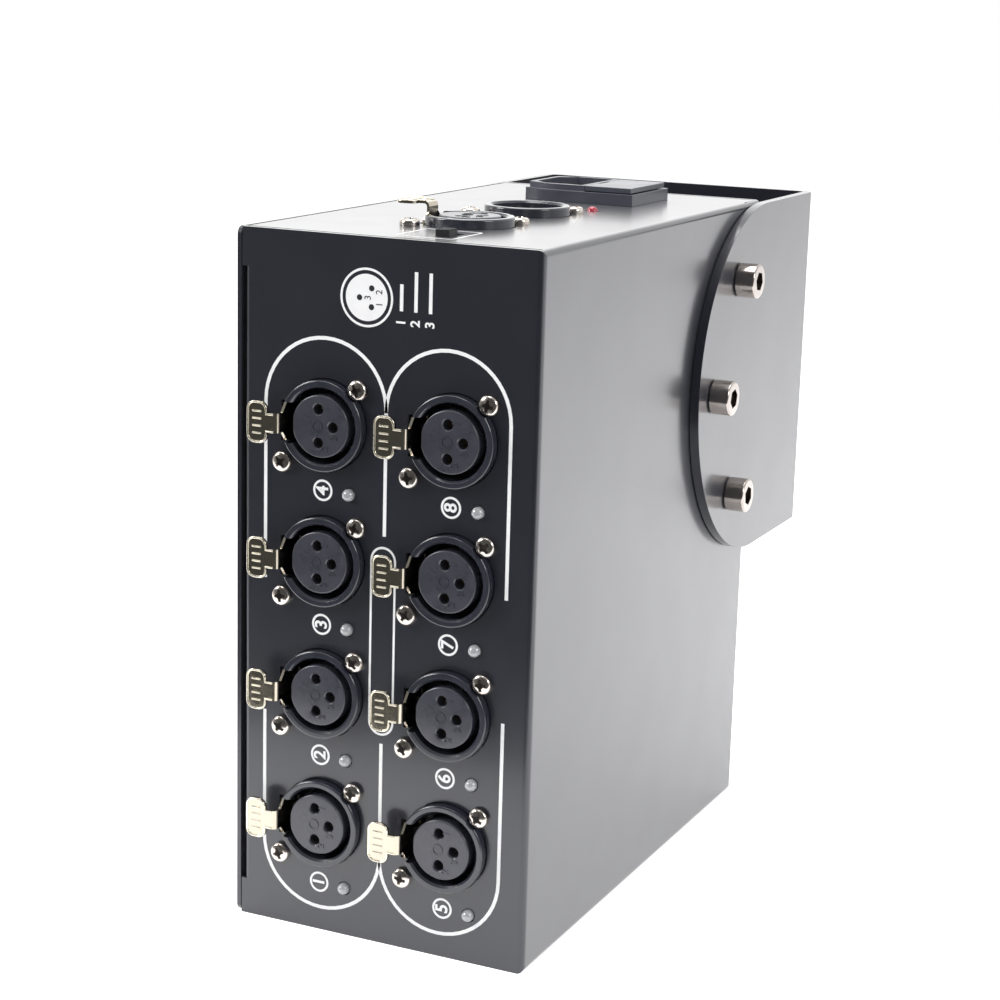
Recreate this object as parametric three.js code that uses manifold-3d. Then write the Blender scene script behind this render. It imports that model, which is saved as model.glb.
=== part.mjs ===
// Eight-way DMX splitter in a folded steel box, with a U-shaped clamp bracket on its back.
// Millimetres, +Z up. The origin is the centre of the small end that the box stands on.
// The output sockets face -Y, the signal and mains connectors face +Z, the bracket lies on +Y.
import * as THREE from "three";
import { mergeVertices } from "three/addons/utils/BufferGeometryUtils.js";
import Module from "manifold-3d";

const wasm = await Module();
wasm.setup();

// Folded box
const boxWidth = 84;
const boxDepth = 157;
const boxHeight = 186;
const sheet = 1.5;
const foldInside = 0.5;
const returnWidth = 11;
const lugLength = 10;
const lugStep = 0.6;
const cornerSeam = 0.4;
const lugOverlap = 0.5;

// Flat lid on the open side
const lidSheet = 1.2;
const lidGap = 0.3;
const lidCorner = 2.2;
const lidScrewInset = 6;
const lidScrewEndDistance = 20;
const lidScrewBelowBracket = 9;
const lidScrewRadius = 1.5;
const lidScrewLength = 7;
const lidScrewHeadRadius = 2.9;
const lidScrewHeadHeight = 1.9;

// General clearances
const seatGap = 0.2;
const holeClearance = 0.3;
const overrun = 1;

// Clamp bracket and its cap screws
const bracketSheet = 2.7;
const bracketGap = 0.3;
const bracketFoldInside = 1.5;
const bracketRadius = 52.4;
const bracketBelowTop = 0.4;
const bracketCentreFromRear = 1.3;
const bracketReach = 43.1;
const clampHoleRadius = 6.25;
const capScrewRadius = 3;
const capScrewLength = 14;
const capHeadRadius = 5;
const capHeadHeight = 6;
const capHeadChamfer = 0.5;
const hexKeyAcross = 5;
const hexKeyDepth = 3.2;
const capScrewDrop = 0.1;
const capScrewFromEarEnds = 20.55;
const capScrewOuterFromRear = 24.6;
const capScrewMidFromEarFront = 11.9;
const pressNutAcross = 10;
const pressNutHeight = 4.5;

// Round signal connectors, whose panel screws lie beyond the ring at the angles given in degrees
const ringRadius = 11.8;
const ringProud = 2.8;
const ringWall = 2;
const rimWall = 1.4;
const rimChamfer = 1.2;
const shellDepth = 18;
const flangeThickness = 2.2;
const flangeBeyondChannel = 1.6;
const flangeBeyondRing = 2.2;
const flangeAboveRing = 2.8;
const flangeCorner = 3.6;
const screwPlaces = [
  { beyondRing: 2.48, angle: 45.6 },
  { beyondRing: 3.69, angle: 223.2 },
];
const screwRadius = 1.5;
const screwHeadRadius = 2.7;
const screwHeadHeight = 2.2;
const screwHeadTaper = 0.9;

// Socket inserts with three contacts
const insertGap = 1.7;
const insertSetback = 0.1;
const insertFootThickness = 3;
const insertFlatDepth = 0.8;
const contactOffsets = [[-0.6, 4.35], [-0.6, -4.35], [3.6, 0]];
const contactHoleRadius = 1.3;
const contactHoleDepth = 8;
const plugPinRadius = 1.2;
const plugPinSetback = 2.6;
const solderPinRadius = 0.6;

// Press latches
const latchSheet = 0.7;
const latchInsideRing = 0.8;
const latchPivotDepth = 7;
const latchLegDepth = 10;
const latchNeckWidth = 5.1;
const latchTabWidth = 10.9;
const latchTabLength = 5.9;
const latchTabHeight = 5.6;
const latchTabOverhang = 8.6;
const latchTabCorner = 2.2;
const latchShoulderWidth = 8.6;
const latchShoulderHeight = 1.6;
const latchShoulderDepth = 3;
const latchPinRadius = 0.6;
const latchPinReach = 0.8;
const latchPinClearance = 0.25;
const latchCatchReach = 1.1;
const latchCatchDepth = 4.4;
const latchCatchHeight = 1.8;
const latchFoldInside = 0.8;
const latchChannelSpace = 3;
const latchChannelBelowLeg = 3;
const latchWall = 1.2;
const latchSideClearance = 0.4;

// Output sockets in two columns, numbered from the bottom up, with as many rows as fit below the input board
const firstRowHeight = 30.5;
const rowGap = 1.6;
const columnGapShares = [34, 35, 37];

// Indicator lamps
const lampRadius = 1.6;
const lampProud = 1.9;
const lampCollarWidth = 0.4;
const lampBodyLength = 4;
const lampLeadWidth = 0.5;
const lampLeadSpacing = 1.27;
const lampLeadSunk = 1;
const signalLampShift = 7.1;
const signalLampGap = 0.8;

// End face: its pieces' places across, and how the length left free between them is shared out.
// In order from the front wall they are the switch, link socket, signal input, lamp and mains inlet.
const endColumnShift = 3;
const powerLampShift = 14.4;
const switchShift = 9.3;
const inletShift = 1.8;
const endGapShares = [73, 21, 64, 22, 150, 186];

// Slide switch
const knobWidth = 3.9;
const knobLength = 4.8;
const knobProud = 1.9;
const knobDepth = 4.2;
const knobRibHeight = 0.4;
const knobRibs = 4;
const switchTravel = 3.8;
const switchBodyWidth = 8.5;
const switchBodyLength = 15;
const switchBodyHeight = 6.5;
const switchLeadSpacing = 3;

// Mains inlet with a fuse drawer beside its recess
const inletLength = 35;
const inletWidth = 28;
const inletTaperLength = 7;
const inletTaperWidth = 3.5;
const inletLowerTier = 3.4;
const inletUpperTier = 5.1;
const inletTierInset = 0.9;
const inletBodyInset = 1.2;
const inletBodyChamfer = 4.6;
const inletBodyDepth = 27;
const recessLength = 16.2;
const recessChamfer = 4.6;
const recessDepth = 17;
const recessWall = 1.3;
const recessSideWall = 2.2;
const bladeWidth = 4;
const bladeThickness = 2;
const bladeSpacing = 7;
const bladeOffset = 2;
const bladeSetback = 3;
const earthSetback = 1.2;
const drawerWall = 1.2;
const drawerDepth = 20;
const terminalWidth = 6.3;
const terminalThickness = 0.8;
const terminalLength = 8;
const fuseRadius = 2.6;
const fuseLength = 20;
const fuseCapLength = 5;
const fuseGlassInset = 0.3;
const fuseDepth = 9;

// Circuit boards
const boardThickness = 1.6;
const boardBehindFace = 22;
const boardMargin = 4;
const boardBeyondRows = 21;
const boardsGap = 3;
const inputBoardWidth = 44;
const inputBoardFrontMargin = 5;
const inputBoardBeyondLamp = 6;
const supplyBoardSideMargin = 9;
const supplyBoardHeight = 104;
const supplyBoardBottom = 14;
const standoffHeight = 6;
const standoffRadius = 3;
const standoffInset = 5;
const chipLength = 10;
const chipWidth = 6.4;
const chipHeight = 2.2;
const capacitorRadius = 8;
const capacitorHeight = 22;
const transformerLength = 42;
const transformerWidth = 35;
const transformerHeight = 28;
const coreThickness = 14;
const coilInset = 5;

// Facets of round shapes
const roundSides = 16;
const earSteps = 14;
const cornerSteps = 1;
const smallSides = 10;
const screwSides = 8;
const hexSides = 6;
const squareSides = 4;
const foldSteps = 2;

// Levels worked out from the sizes above
const halfWidth = boxWidth / 2;
const halfDepth = boxDepth / 2;
const foldOutside = foldInside + sheet;
const lidInnerX = -halfWidth - lidGap;
const lidOuterX = lidInnerX - lidSheet;
const bracketRearY = halfDepth + bracketReach;
const bracketCentreHeight = boxHeight - bracketBelowTop - bracketRadius;
const capHoleRadius = capScrewRadius + holeClearance;
const panelBore = ringRadius + holeClearance;
const socketBore = ringRadius - ringWall;
const rimRadius = ringRadius - rimWall;
const insertRadius = socketBore - insertGap;
const insertFlat = insertRadius - insertFlatDepth;
const latchArm = ringRadius - latchInsideRing;
const latchTabReach = latchArm + latchTabOverhang;
const latchChannelOuter = latchArm + latchChannelSpace;
const latchChannelDepth = latchLegDepth + latchChannelBelowLeg;
const channelHalf = latchShoulderWidth / 2 + latchSideClearance;
const flangeLeft = latchChannelOuter + flangeBeyondChannel;
const flangeRight = ringRadius + flangeBeyondRing;
const flangeHalfHeight = ringRadius + flangeAboveRing;
const lampCollarRadius = lampRadius + lampCollarWidth;
const signalLampOffset = [signalLampShift, -flangeHalfHeight - signalLampGap - lampCollarRadius];
const rowPitch = 2 * (flangeHalfHeight + lampCollarRadius) + signalLampGap + rowGap;
const highestRow = boxHeight - boardBehindFace - boardThickness - boardsGap - boardBeyondRows;
const outputRows = 1 + Math.floor((highestRow - firstRowHeight) / rowPitch);
const recessWidth = inletWidth - 2 * recessSideWall;
const supplyBoardWidth = boxWidth - 2 * supplyBoardSideMargin;
const supplyBoardY = halfDepth - sheet - standoffHeight - seatGap;

// Materials
const paint = (roughness) => ({ color: 0x16171a, roughness, metalness: 0.1 });
const looks = {
  paintedSteel: paint(0.42),
  bracketPaint: paint(0.45),
  blackOxide: { color: 0x3a3a3c, roughness: 0.35, metalness: 0.9 },
  nickel: { color: 0xb9b3a8, roughness: 0.25, metalness: 1 },
  blackPlastic: { color: 0x1b1b1d, roughness: 0.55, metalness: 0 },
  insertPlastic: { color: 0x222225, roughness: 0.6, metalness: 0 },
  clearLamp: { color: 0xd9dde0, roughness: 0.3, metalness: 0 },
  redLamp: { color: 0xb5202a, roughness: 0.3, metalness: 0 },
  glass: { color: 0xcdd5d8, roughness: 0.1, metalness: 0 },
  board: { color: 0x1f5a38, roughness: 0.6, metalness: 0 },
  core: { color: 0x8a7a55, roughness: 0.6, metalness: 0.3 },
};

function material(look) {
  return new THREE.MeshStandardMaterial(looks[look]);
}

// Solids and booleans
function solidOf(geometry) {
  const bare = geometry.clone();
  bare.deleteAttribute("normal");
  bare.deleteAttribute("uv");
  const merged = mergeVertices(bare);
  const solid = new wasm.Manifold(
    new wasm.Mesh({
      numProp: 3,
      vertProperties: new Float32Array(merged.attributes.position.array),
      triVerts: new Uint32Array(merged.index.array),
    }),
  );
  return solid;
}

function geometryOf(solid) {
  const mesh = solid.getMesh();
  const geometry = new THREE.BufferGeometry();
  geometry.setAttribute("position", new THREE.BufferAttribute(mesh.vertProperties, mesh.numProp));
  geometry.setIndex(new THREE.BufferAttribute(mesh.triVerts, 1));
  geometry.computeVertexNormals();
  return geometry;
}

function join(...geometries) {
  return geometryOf(geometries.map(solidOf).reduce((whole, next) => whole.add(next)));
}

function cut(geometry, ...tools) {
  return geometryOf(tools.map(solidOf).reduce((whole, next) => whole.subtract(next), solidOf(geometry)));
}

function common(a, b) {
  return geometryOf(solidOf(a).intersect(solidOf(b)));
}

// Basic shapes, each in the frame of the face that carries it: X and Y in the face, Z out of it
function block([x0, x1], [y0, y1], [z0, z1]) {
  const geometry = new THREE.BoxGeometry(x1 - x0, y1 - y0, z1 - z0);
  return geometry.translate((x0 + x1) / 2, (y0 + y1) / 2, (z0 + z1) / 2);
}

function rod(radius, [z0, z1], sides, [x, y] = [0, 0]) {
  const geometry = new THREE.CylinderGeometry(radius, radius, z1 - z0, sides);
  return geometry.rotateX(Math.PI / 2).translate(x, y, (z0 + z1) / 2);
}

function hexRod(across, span, place) {
  return rod(across / 2 / Math.cos(Math.PI / hexSides), span, hexSides, place);
}

// A solid of revolution about Z, from [radius, z] pairs that start and end on the axis
function turned(profile, sides) {
  const points = profile.map(([radius, z]) => new THREE.Vector2(radius, z));
  return new THREE.LatheGeometry(points, sides).rotateX(Math.PI / 2);
}

function prism(shape, [z0, z1], curveSegments = foldSteps) {
  const geometry = new THREE.ExtrudeGeometry(shape, { depth: z1 - z0, bevelEnabled: false, curveSegments });
  return geometry.translate(0, 0, z0);
}

function polygon(points) {
  return new THREE.Shape(points.map(([x, y]) => new THREE.Vector2(x, y)));
}

function roundedRectangle([x0, x1], [y0, y1], radius) {
  const shape = new THREE.Shape();
  shape.absarc(x1 - radius, y1 - radius, radius, 0, Math.PI / 2);
  shape.absarc(x0 + radius, y1 - radius, radius, Math.PI / 2, Math.PI);
  shape.absarc(x0 + radius, y0 + radius, radius, Math.PI, 1.5 * Math.PI);
  shape.absarc(x1 - radius, y0 + radius, radius, 1.5 * Math.PI, 2 * Math.PI);
  shape.closePath();
  return shape;
}

// The edge-on outline of sheet metal that follows a path of straight runs joined by round folds
function foldedSheet(path, thickness, insideRadius) {
  const corners = path.map(([x, y]) => new THREE.Vector2(x, y));
  const middle = insideRadius + thickness / 2;
  const stations = [];
  const heading = (from, to) => to.clone().sub(from).normalize();
  const leftOf = (direction) => new THREE.Vector2(-direction.y, direction.x);
  corners.forEach((corner, i) => {
    const into = heading(corners[Math.max(i - 1, 0)], corners[Math.max(i, 1)]);
    if (i === 0 || i === corners.length - 1) {
      stations.push([corner, leftOf(into)]);
      return;
    }
    const out = heading(corner, corners[i + 1]);
    const turn = Math.atan2(into.cross(out), into.dot(out));
    const start = corner.clone().addScaledVector(into, -middle * Math.tan(Math.abs(turn) / 2));
    const centre = start.clone().addScaledVector(leftOf(into), middle * Math.sign(turn));
    for (let step = 0; step <= foldSteps; step += 1) {
      const angle = (turn * step) / foldSteps;
      const point = start.clone().rotateAround(centre, angle);
      stations.push([point, leftOf(into).rotateAround(new THREE.Vector2(), angle)]);
    }
  });
  const side = (sign) => stations.map(([p, n]) => p.clone().addScaledVector(n, (sign * thickness) / 2));
  return new THREE.Shape([...side(-1), ...side(1).reverse()]);
}

// Turns of a shape drawn in XY and raised along Z, so that Z becomes the axis named
const alongX = (geometry) => geometry.rotateY(Math.PI / 2).rotateX(Math.PI / 2);
const alongY = (geometry) => geometry.rotateX(Math.PI / 2);

// Places on the faces of the box
function onFront(geometry, x, z) {
  return geometry.rotateX(Math.PI / 2).translate(x, -halfDepth, z);
}

function onEnd(geometry, x, y) {
  return geometry.translate(x, y, boxHeight);
}

// The middles of pieces set in a row between two walls, with the length left free shared out in the gaps
function middlesInRow(start, end, lengths, gapShares) {
  const sum = (values) => values.reduce((total, value) => total + value, 0);
  const free = end - start - sum(lengths);
  const gaps = gapShares.map((share) => (free * share) / sum(gapShares));
  return lengths.map((length, i) => start + sum(gaps.slice(0, i + 1)) + sum(lengths.slice(0, i)) + length / 2);
}

const flangeWidth = flangeLeft + flangeRight;
const outputColumns = columnGapShares.length - 1;
const columnWidths = Array(outputColumns).fill(flangeWidth);
const columnsStart = -halfWidth + lugStep + sheet;
const columnMiddles = middlesInRow(columnsStart, halfWidth - sheet, columnWidths, columnGapShares);
const outputPlaces = columnMiddles.flatMap((middle) =>
  Array.from({ length: outputRows }, (_, row) => [
    middle + (flangeLeft - flangeRight) / 2,
    firstRowHeight + row * rowPitch,
  ]),
);
const endLengths = [switchBodyLength, 2 * flangeHalfHeight, 2 * flangeHalfHeight, 2 * lampCollarRadius, inletWidth];
const [switchY, linkY, inputY, powerLampY, inletY] = middlesInRow(-halfDepth, halfDepth, endLengths, endGapShares);
const switchPlace = [switchShift, switchY - switchTravel / 2];
const linkPlace = [endColumnShift, linkY];
const inputPlace = [endColumnShift, inputY];
const powerLampPlace = [powerLampShift, powerLampY];
const inletPlace = [inletShift, inletY];

// The middle screw of each ear stands nearer the ear's front than the outer two
const capScrewRise = bracketRadius - capScrewFromEarEnds;
const capScrewMidFromRear = bracketCentreFromRear + bracketRadius - capScrewMidFromEarFront;
const capScrewPlaces = [-1, 0, 1].map((step) => [
  halfDepth - (step === 0 ? capScrewMidFromRear : capScrewOuterFromRear),
  bracketCentreHeight - capScrewDrop + step * capScrewRise,
]);
// The rear edge's upper screw sits below the bracket's ear, whose own screws hold that corner
const lidScrewPlaces = [
  [lidScrewInset - halfDepth, lidScrewEndDistance],
  [lidScrewInset - halfDepth, boxHeight - lidScrewEndDistance],
  [halfDepth - lidScrewInset, lidScrewEndDistance],
  [halfDepth - lidScrewInset, bracketCentreHeight - bracketRadius - lidScrewBelowBracket],
];
const standoffPlaces = [-1, 1].flatMap((side) =>
  [standoffInset, supplyBoardHeight - standoffInset].map((z) => [
    side * (supplyBoardWidth / 2 - standoffInset),
    supplyBoardBottom + z,
  ]),
);

const screwOffsets = screwPlaces.map(({ beyondRing, angle }) => {
  const reach = ringRadius + beyondRing;
  const turn = THREE.MathUtils.degToRad(angle);
  return [reach * Math.cos(turn), reach * Math.sin(turn)];
});

// Holes that a connector needs in its panel
function connectorHoles(withLatch) {
  const through = [-sheet - overrun, overrun];
  const holes = [rod(panelBore, through, roundSides)];
  screwOffsets.forEach((place) => holes.push(rod(screwRadius + holeClearance, through, hexSides, place)));
  if (withLatch) {
    const half = channelHalf + holeClearance;
    holes.push(block([-latchChannelOuter - holeClearance, -socketBore], [-half, half], through));
  }
  return holes;
}

function lampHole() {
  return rod(lampRadius + holeClearance, [-sheet - overrun, overrun], hexSides);
}

// Chassis: one folded sheet with press nuts and standoffs
function boxWalls() {
  const returnX = -halfWidth + lugStep + sheet / 2;
  const wallX = halfWidth - sheet / 2;
  const wallY = halfDepth - sheet / 2;
  const hooked = [
    [returnX, -halfDepth + returnWidth],
    [returnX, -wallY],
    [wallX, -wallY],
    [wallX, wallY],
    [returnX, wallY],
    [returnX, halfDepth - returnWidth],
  ];
  const flat = [[-halfWidth, -wallY], [wallX, -wallY], [wallX, wallY], [-halfWidth, wallY]];
  const middle = prism(foldedSheet(hooked, sheet, foldInside), [
    lugLength - lugOverlap,
    boxHeight - lugLength + lugOverlap,
  ]);
  const lower = prism(foldedSheet(flat, sheet, foldInside), [0, lugLength]);
  const upper = prism(foldedSheet(flat, sheet, foldInside), [boxHeight - lugLength, boxHeight]);
  return join(middle, lower, upper);
}

// Top and bottom walls, drawn in the XZ plane and butted between the front and rear walls
function boxEnds() {
  const returnX = -halfWidth + lugStep + sheet / 2;
  const wallX = halfWidth - sheet / 2;
  const low = sheet / 2;
  const high = boxHeight - sheet / 2;
  const hooked = [
    [returnX, returnWidth],
    [returnX, low],
    [wallX, low],
    [wallX, high],
    [returnX, high],
    [returnX, boxHeight - returnWidth],
  ];
  const flatX = -halfWidth + lugStep;
  const flat = [[flatX, low], [wallX, low], [wallX, high], [flatX, high]];
  const reach = halfDepth - sheet - cornerSeam;
  const hookedReach = halfDepth - returnWidth - cornerSeam;
  const middle = prism(foldedSheet(hooked, sheet, foldInside), [-hookedReach, hookedReach]);
  const full = prism(foldedSheet(flat, sheet, foldInside), [-reach, reach]);
  return alongY(join(middle, full));
}

// What rounds the right wall's long edges where it folds into the top and bottom walls
function edgeTrims() {
  const reach = halfDepth - foldOutside;
  const along = [-reach, reach];
  const axisX = halfWidth - foldOutside;
  return [foldOutside, boxHeight - foldOutside].map((axisZ, i) => {
    const sign = i === 0 ? -1 : 1;
    const ends = [axisZ, axisZ + sign * (foldOutside + overrun)].sort((a, b) => a - b);
    const corner = block([axisX, halfWidth + overrun], ends, along);
    const fold = rod(foldOutside, [-reach - overrun, reach + overrun], foldSteps * squareSides, [axisX, axisZ]);
    return alongY(cut(corner, fold));
  });
}

function pressNuts(x, direction, wall) {
  const span = [-wall / 2, pressNutHeight];
  return capScrewPlaces.map(([y, z]) =>
    hexRod(pressNutAcross, span)
      .rotateY((direction * Math.PI) / 2)
      .translate(x, y, z),
  );
}

function capScrewHoles([x0, x1]) {
  return capScrewPlaces.map(([y, z]) =>
    rod(capHoleRadius, [x0, x1], smallSides)
      .rotateY(Math.PI / 2)
      .translate(0, y, z),
  );
}

function chassis() {
  const innerWallX = halfWidth - sheet;
  const trimmed = cut(boxWalls(), ...edgeTrims());
  const standoffs = standoffPlaces.map(([x, z]) =>
    rod(standoffRadius, [0, standoffHeight + sheet / 2], screwSides)
      .rotateX(Math.PI / 2)
      .translate(x, halfDepth - sheet / 2, z),
  );
  const nuts = pressNuts(innerWallX, -1, sheet);
  const body = join(trimmed, boxEnds(), ...nuts, ...standoffs);
  const front = outputPlaces.flatMap(([x, z]) => [
    ...connectorHoles(true).map((hole) => onFront(hole, x, z)),
    onFront(lampHole(), x + signalLampOffset[0], z + signalLampOffset[1]),
  ]);
  const end = [
    ...connectorHoles(true).map((hole) => onEnd(hole, ...linkPlace)),
    ...connectorHoles(false).map((hole) => onEnd(hole, ...inputPlace)),
    onEnd(lampHole(), ...powerLampPlace),
    onEnd(knobSlot([-sheet - overrun, overrun]), ...switchPlace),
    onEnd(inletCutout(), ...inletPlace),
  ];
  const lidHoles = lidScrewPlaces.map(([y, z]) =>
    rod(lidScrewRadius + holeClearance, [-halfWidth - overrun, -halfWidth + sheet + lugStep + overrun], screwSides)
      .rotateY(Math.PI / 2)
      .translate(0, y, z),
  );
  const capHoles = capScrewHoles([innerWallX - pressNutHeight - overrun, halfWidth + overrun]);
  return cut(body, ...front, ...end, ...lidHoles, ...capHoles);
}

function lid() {
  const outline = roundedRectangle([-halfDepth, halfDepth], [0, boxHeight], lidCorner);
  const plate = alongX(prism(outline, [lidOuterX, lidInnerX]));
  const screwHoles = lidScrewPlaces.map(([y, z]) =>
    rod(lidScrewRadius + holeClearance, [lidOuterX - overrun, lidInnerX + overrun], screwSides)
      .rotateY(Math.PI / 2)
      .translate(0, y, z),
  );
  const nuts = pressNuts(lidInnerX, 1, lidSheet);
  const capHoles = capScrewHoles([lidOuterX - overrun, lidInnerX + pressNutHeight + overrun]);
  return cut(join(plate, ...nuts), ...screwHoles, ...capHoles);
}

// Bracket: a U of thick sheet whose ears end in a half circle
function bracket() {
  const rightX = halfWidth + bracketGap + bracketSheet / 2;
  const leftX = lidOuterX - bracketGap - bracketSheet / 2;
  const rearY = bracketRearY - bracketSheet / 2;
  const centreY = halfDepth - bracketCentreFromRear;
  const frontY = centreY - bracketRadius - overrun;
  const path = [[rightX, frontY], [rightX, rearY], [leftX, rearY], [leftX, frontY]];
  const reach = [bracketCentreHeight - bracketRadius, bracketCentreHeight + bracketRadius];
  const folded = prism(foldedSheet(path, bracketSheet, bracketFoldInside), reach);
  const ear = new THREE.Shape();
  ear.moveTo(bracketRearY + overrun, reach[1]);
  ear.lineTo(centreY, reach[1]);
  ear.absarc(centreY, bracketCentreHeight, bracketRadius, Math.PI / 2, 1.5 * Math.PI);
  ear.lineTo(bracketRearY + overrun, reach[0]);
  ear.closePath();
  const across = [leftX - bracketSheet, rightX + bracketSheet];
  const outline = alongX(prism(ear, across, earSteps));
  const clampHole = rod(clampHoleRadius, [-bracketRearY - overrun, -bracketRearY + bracketSheet + overrun], roundSides)
    .rotateX(Math.PI / 2)
    .translate((leftX + rightX) / 2, 0, bracketCentreHeight);
  return cut(common(folded, outline), clampHole, ...capScrewHoles(across));
}

function capScrew() {
  const head = turned(
    [
      [0, -capScrewLength],
      [capScrewRadius, -capScrewLength],
      [capScrewRadius, 0],
      [capHeadRadius, 0],
      [capHeadRadius, capHeadHeight - capHeadChamfer],
      [capHeadRadius - capHeadChamfer, capHeadHeight],
      [0, capHeadHeight],
    ],
    smallSides,
  );
  return cut(head, hexRod(hexKeyAcross, [capHeadHeight - hexKeyDepth, capHeadHeight + overrun]));
}

function lidScrew() {
  return turned(
    [
      [0, -lidScrewLength],
      [lidScrewRadius, -lidScrewLength],
      [lidScrewRadius, 0],
      [lidScrewHeadRadius, 0],
      [lidScrewHeadRadius, lidScrewHeadHeight / 2],
      [lidScrewHeadRadius / 2, lidScrewHeadHeight],
      [0, lidScrewHeadHeight],
    ],
    hexSides,
  );
}

// Round connectors: a shell with its rear flange, ring and two panel screws
function panelScrew([x, y]) {
  return turned(
    [
      [0, -sheet - flangeThickness],
      [screwRadius, -sheet - flangeThickness],
      [screwRadius, seatGap],
      [screwHeadRadius, seatGap],
      [screwHeadRadius - screwHeadTaper, screwHeadHeight],
      [0, screwHeadHeight],
    ],
    hexSides,
  ).translate(x, y, 0);
}

function shellBlank() {
  const front = -sheet - seatGap;
  const barrel = rod(ringRadius, [-shellDepth, ringProud], roundSides);
  const plate = roundedRectangle([-flangeLeft, flangeRight], [-flangeHalfHeight, flangeHalfHeight], flangeCorner);
  const flange = prism(plate, [front - flangeThickness, front], cornerSteps);
  return { front, parts: [barrel, flange, ...screwOffsets.map(panelScrew)] };
}

function socketShell() {
  const { front, parts } = shellBlank();
  const housingHalf = channelHalf + latchWall;
  const housing = block(
    [-flangeLeft, -socketBore],
    [-housingHalf, housingHalf],
    [-latchChannelDepth - latchWall, front],
  );
  const channel = block([-latchChannelOuter, 0], [-channelHalf, channelHalf], [-latchChannelDepth, ringProud + overrun]);
  const hingeHole = pivotRod(latchPinRadius + latchPinClearance, housingHalf + overrun);
  return cut(join(...parts, housing), socketHollow(), channel, hingeHole);
}

// The latch's hinge line, parallel to its tab
function pivotRod(radius, reach) {
  return alongY(rod(radius, [-reach, reach], hexSides, [-latchArm, -latchPivotDepth]));
}

// The bore of a connector with its chamfered rim
function socketHollow() {
  return turned(
    [
      [0, -shellDepth - overrun],
      [socketBore, -shellDepth - overrun],
      [socketBore, ringProud - rimChamfer],
      [rimRadius, ringProud],
      [rimRadius, ringProud + overrun],
      [0, ringProud + overrun],
    ],
    roundSides,
  );
}

function plugShell() {
  return cut(join(...shellBlank().parts), socketHollow());
}

function solderPins() {
  const span = [seatGap - boardBehindFace, insertFootThickness / 2 - shellDepth];
  return contactOffsets.map((place) => rod(solderPinRadius, span, squareSides, place));
}

function insertFoot() {
  return rod(socketBore - seatGap, [-shellDepth, insertFootThickness - shellDepth], smallSides);
}

function socketInsert() {
  const face = ringProud - insertSetback;
  const post = rod(insertRadius, [-shellDepth, face], roundSides);
  const contacts = contactOffsets.map((place) =>
    rod(contactHoleRadius, [face - contactHoleDepth, face + overrun], hexSides, place),
  );
  const keyFlat = block(
    [-insertRadius - overrun, -insertFlat],
    [-insertRadius, insertRadius],
    [insertFootThickness - shellDepth, face + overrun],
  );
  return join(cut(post, keyFlat, ...contacts), insertFoot(), ...solderPins());
}

function plugInsert() {
  const tip = ringProud - plugPinSetback;
  const pins = contactOffsets.map((place) =>
    turned(
      [
        [0, -shellDepth],
        [plugPinRadius, -shellDepth],
        [plugPinRadius, tip - plugPinRadius],
        [plugPinRadius / 2, tip],
        [0, tip],
      ],
      screwSides,
    ).translate(...place, 0),
  );
  return join(insertFoot(), ...pins, ...solderPins());
}

// Press latch: a folded spring-steel lever with a thumb tab, a catch and two shoulders
function socketLatch() {
  const tabInner = latchTabReach - latchTabLength;
  const path = [[-latchArm, -latchLegDepth], [-latchArm, latchTabHeight], [-tabInner - latchTabLength / 2, latchTabHeight]];
  const neckHalf = latchNeckWidth / 2;
  const neck = alongY(prism(foldedSheet(path, latchSheet, latchFoldInside), [-neckHalf, neckHalf]));
  const tabHalf = latchTabWidth / 2;
  const level = [latchTabHeight - latchSheet / 2, latchTabHeight + latchSheet / 2];
  const tab = prism(roundedRectangle([-latchTabReach, -tabInner], [-tabHalf, tabHalf], latchTabCorner), level);
  const thickness = [-latchArm - latchSheet / 2, -latchArm + latchSheet / 2];
  const shoulderHalf = latchShoulderWidth / 2;
  const shoulders = block(thickness, [-shoulderHalf, shoulderHalf], [-latchShoulderDepth, latchShoulderHeight]);
  const hook = polygon([
    [-latchArm, -latchCatchDepth],
    [-latchArm + latchSheet / 2 + latchCatchReach, -latchCatchDepth],
    [-latchArm, -latchCatchDepth + latchCatchHeight],
  ]);
  const catchTooth = alongY(prism(hook, [-neckHalf, neckHalf]));
  return join(neck, tab, shoulders, catchTooth, pivotRod(latchPinRadius, channelHalf + latchPinReach));
}

// Lamps: a domed body behind the panel with two leads to its board
function lamp() {
  const collarFront = -sheet - seatGap;
  const body = turned(
    [
      [0, -lampBodyLength],
      [lampCollarRadius, -lampBodyLength],
      [lampCollarRadius, collarFront],
      [lampRadius, collarFront],
      [lampRadius, lampProud - lampRadius],
      [lampRadius / Math.SQRT2, lampProud - lampRadius + lampRadius / Math.SQRT2],
      [0, lampProud],
    ],
    hexSides,
  );
  const leads = [-1, 1].map((side) =>
    rod(lampLeadWidth / 2, [seatGap - boardBehindFace, lampLeadSunk - lampBodyLength], squareSides, [
      side * lampLeadSpacing,
      0,
    ]),
  );
  return join(body, ...leads);
}

// Slide switch: the knob's place is its front position, and it travels towards +Y
function knobSlot(span) {
  const half = knobWidth / 2 + holeClearance;
  const end = knobLength / 2 + holeClearance;
  return block([-half, half], [-end, end + switchTravel], span);
}

function switchBody() {
  const top = -sheet - seatGap;
  const middle = switchTravel / 2;
  const half = switchBodyWidth / 2;
  const reach = [middle - switchBodyLength / 2, middle + switchBodyLength / 2];
  const can = block([-half, half], reach, [top - switchBodyHeight, top]);
  const floor = -knobDepth - seatGap;
  const leads = [-1, 0, 1].flatMap((step) =>
    [-1, 1].map((side) =>
      rod(solderPinRadius, [seatGap - boardBehindFace, top - switchBodyHeight + seatGap], squareSides, [
        (side * switchLeadSpacing) / 2,
        middle + step * switchLeadSpacing,
      ]),
    ),
  );
  return join(cut(can, knobSlot([floor, overrun])), ...leads);
}

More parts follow.
